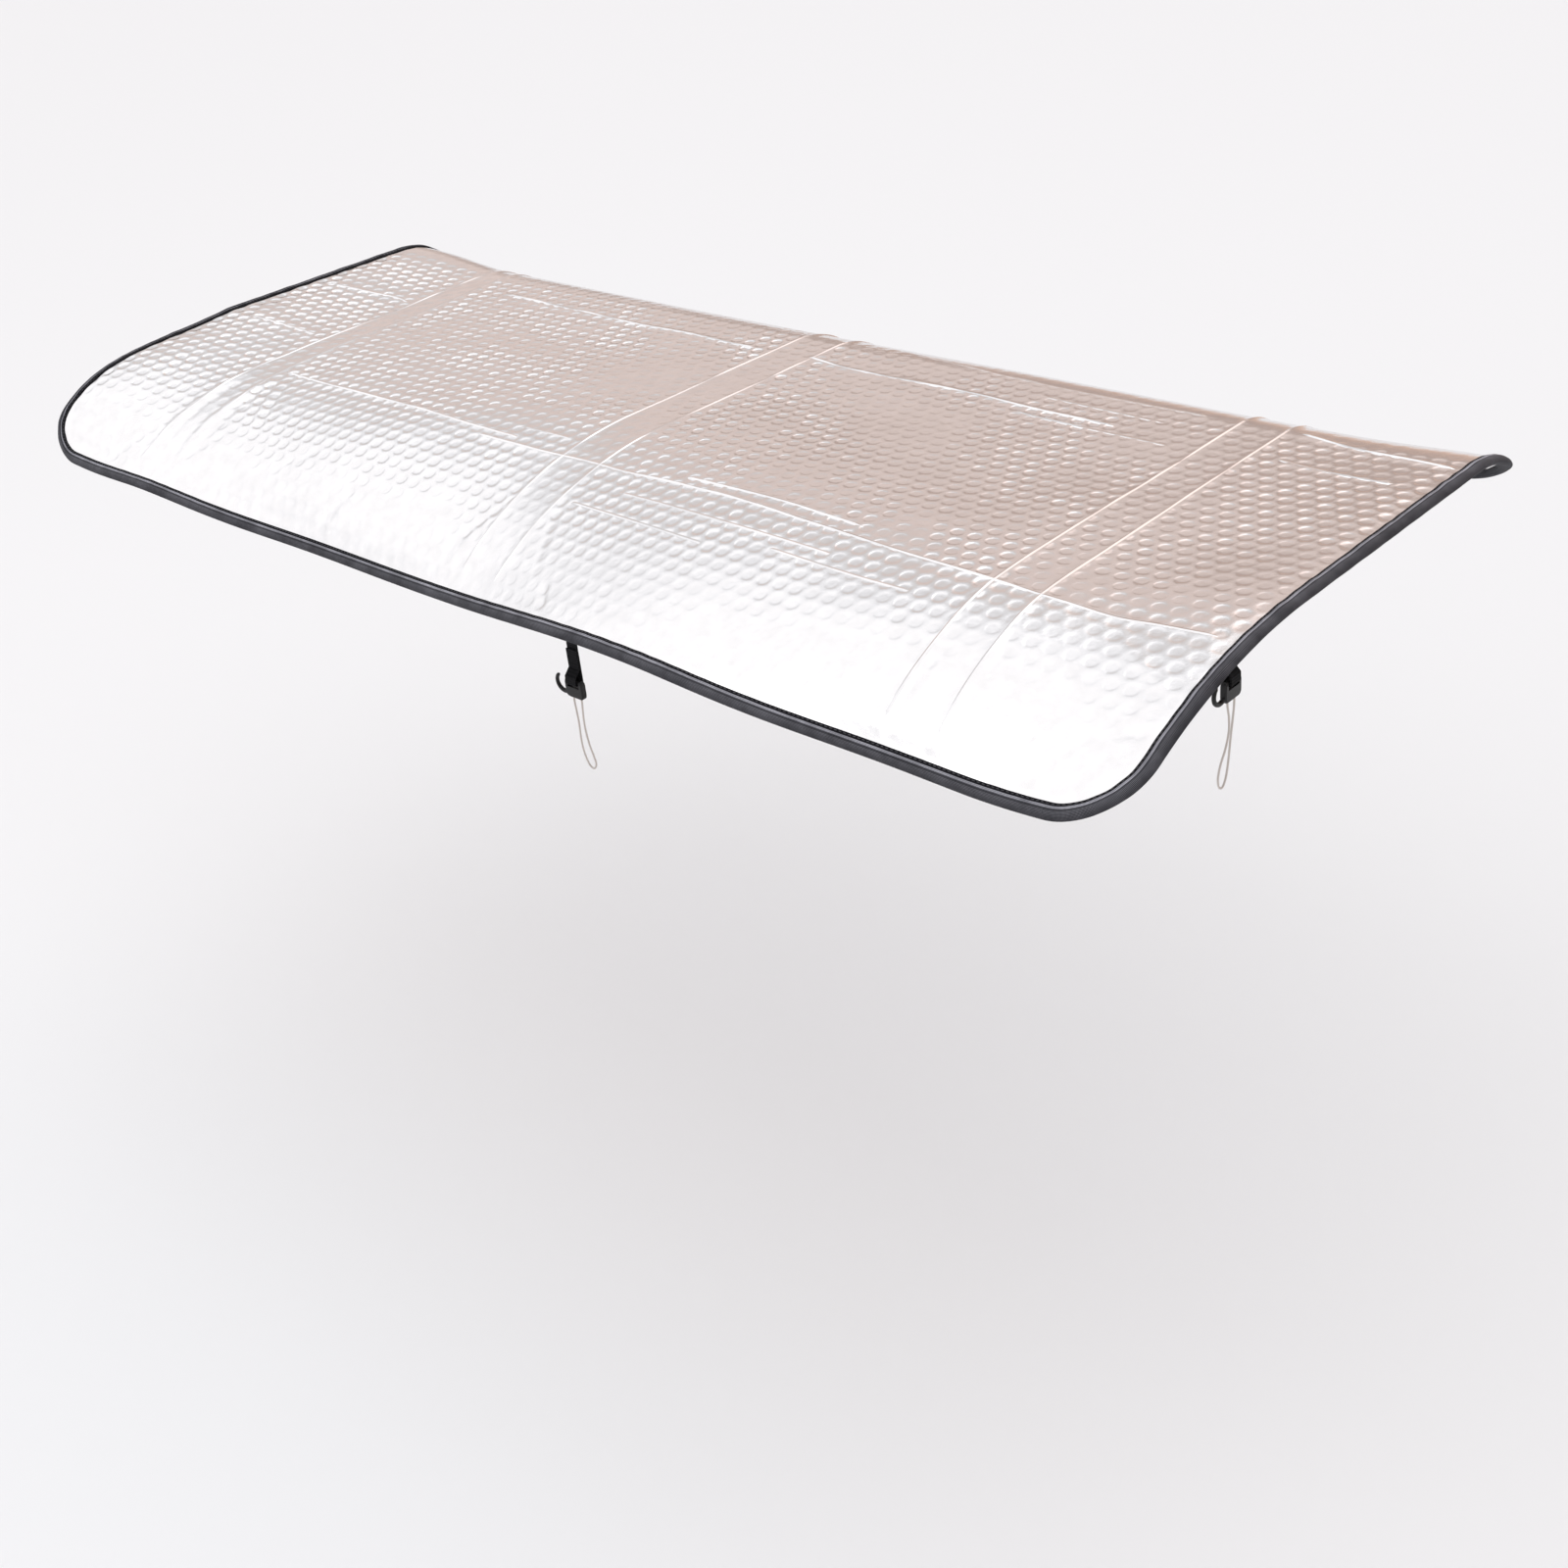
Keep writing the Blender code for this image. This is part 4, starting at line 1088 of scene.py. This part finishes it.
# Straps and clips keep their solids and get their own finish
fittings = {"sharpAngle": 35}       # degrees
for kind, slot, finish in (("strap", "webbing", webbing), ("clip", "clip", moulded)):
    for side in ("front", "side"):
        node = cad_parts[side + "_" + kind]
        node.data.materials.clear()
        node.data.materials.append(finish)
        node.data.shade_smooth()
        node.data.set_sharp_from_angle(angle=math.radians(fittings["sharpAngle"]))

# Everything rides on the one body, and stands for its solids
sewn = [(foilSheet, "foil"), (bindingTape, "tape"), (topStitches, "tape"), (underStitches, "tape")]
for piece, slot in sewn + [(creaseCrests, "foil")] + [(cells, "foil") for cells in filmPieces]:
    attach(piece, body)
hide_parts("foil_sheet")
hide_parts("edge_binding")

# Pale floor, far below, and soft light from a sky that is white above and warm low down
studio = {
    "floorHeight": -0.541, "floorSize": 60.0, "floorColour": (0.80, 0.815, 0.83),
    "backdrop": (0.90, 0.90, 0.91),
    # the sky's heights, by how much they drop ahead, to the right and everywhere
    "dropAhead": -1.15, "dropRight": -0.21, "drop": -0.187, "low": -1.2, "high": 0.9,
    "brightPlace": (0.0, 0.62, 0.785), "brightReach": (0.86, 0.97), "brightAdds": 0.8,
    "lamp": 9.0, "lampSize": 2.2, "lampPlace": (-0.6, -1.9, 2.6),
}
# Colours of the sky by their height in it, from low to high
skyStops = (
    (-1.15, (0.80, 0.57, 0.46)),
    (-0.95, (0.62, 0.46, 0.39)),
    (-0.76, (0.50, 0.40, 0.36)),
    (-0.57, (0.81, 0.675, 0.62)),
    (-0.36, (0.81, 0.68, 0.635)),
    (-0.22, (0.76, 0.665, 0.63)),
    (-0.10, (0.77, 0.72, 0.70)),
    (0.05, (0.82, 0.81, 0.82)),
    (0.21, (0.97, 0.97, 0.99)),
    (0.37, (1.16, 1.16, 1.18)),
    (0.58, (1.26, 1.25, 1.26)),
)


def makeFloor():
    half, height = studio["floorSize"] / 2, studio["floorHeight"]
    corners = [(-half, -half, height), (half, -half, height), (half, half, height), (-half, half, height)]
    material = newMaterial("floorPaint", Base_Color=(*studio["floorColour"], 1), Roughness=0.9,
                           Specular_IOR_Level=0.1)[0]
    meshFrom("floor", corners, [(0, 1, 2, 3)], material, False)


def makeSky():
    world = bpy.data.worlds.new("studioLight")
    scene.world = world
    world.use_nodes = True
    tree = world.node_tree
    tree.nodes.clear()
    direction = addNode(tree, "ShaderNodeTexCoord", (0, 0))
    look = direction.outputs["Generated"]
    x, y, z = addNode(tree, "ShaderNodeSeparateXYZ", (1, 0), Vector=look).outputs
    front = mathNode(tree, "MAXIMUM", (2, 1), y, 0.0)
    ahead = mathNode(tree, "MULTIPLY_ADD", (3, 0), front, studio["dropAhead"], z)
    aside = mathNode(tree, "MULTIPLY_ADD", (4, 0), x, studio["dropRight"], ahead)
    height = mathNode(tree, "ADD", (5, 0), aside, studio["drop"])
    place = addNode(tree, "ShaderNodeMapRange", (7, 0), Value=height, From_Min=studio["low"],
                    From_Max=studio["high"])
    ramp = addNode(tree, "ShaderNodeValToRGB", (8, 0), Fac=place.outputs[0])
    span = studio["high"] - studio["low"]
    fillRamp(ramp, [((rung - studio["low"]) / span, colour) for rung, colour in skyStops])
    # the brightest part of the sky
    toward = addNode(tree, "ShaderNodeVectorMath", (7, 4), operation="DOT_PRODUCT")
    tree.links.new(look, toward.inputs[0])
    toward.inputs[1].default_value = studio["brightPlace"]
    low, high = studio["brightReach"]
    glow = addNode(tree, "ShaderNodeMapRange", (8, 4), interpolation_type="SMOOTHSTEP",
                   Value=toward.outputs["Value"], From_Min=low, From_Max=high, To_Max=studio["brightAdds"])
    strength = mathNode(tree, "ADD", (9, 4), glow.outputs[0], 1.0)
    background = addNode(tree, "ShaderNodeBackground", (9, 0), Color=ramp.outputs["Color"], Strength=strength)
    # the camera sees a plain pale backdrop where the floor ends
    plain = addNode(tree, "ShaderNodeBackground", (9, 6), Color=(*studio["backdrop"], 1))
    seen = addNode(tree, "ShaderNodeLightPath", (9, 9))
    either = addNode(tree, "ShaderNodeMixShader", (10, 2), Fac=seen.outputs["Is Camera Ray"])
    tree.links.new(background.outputs[0], either.inputs[1])
    tree.links.new(plain.outputs[0], either.inputs[2])
    addNode(tree, "ShaderNodeOutputWorld", (11, 0), Surface=either.outputs[0])


def makeLamp():
    lamp = bpy.data.lights.new("softLamp", "AREA")
    lamp.energy = studio["lamp"]
    lamp.size = studio["lampSize"]
    obj = bpy.data.objects.new("softLamp", lamp)
    obj.matrix_world = lookFrom(studio["lampPlace"], (0, 0, 0))
    scene.collection.objects.link(obj)


makeFloor()
makeSky()
makeLamp()
scene.view_settings.view_transform = "Standard"
print("studio ready")
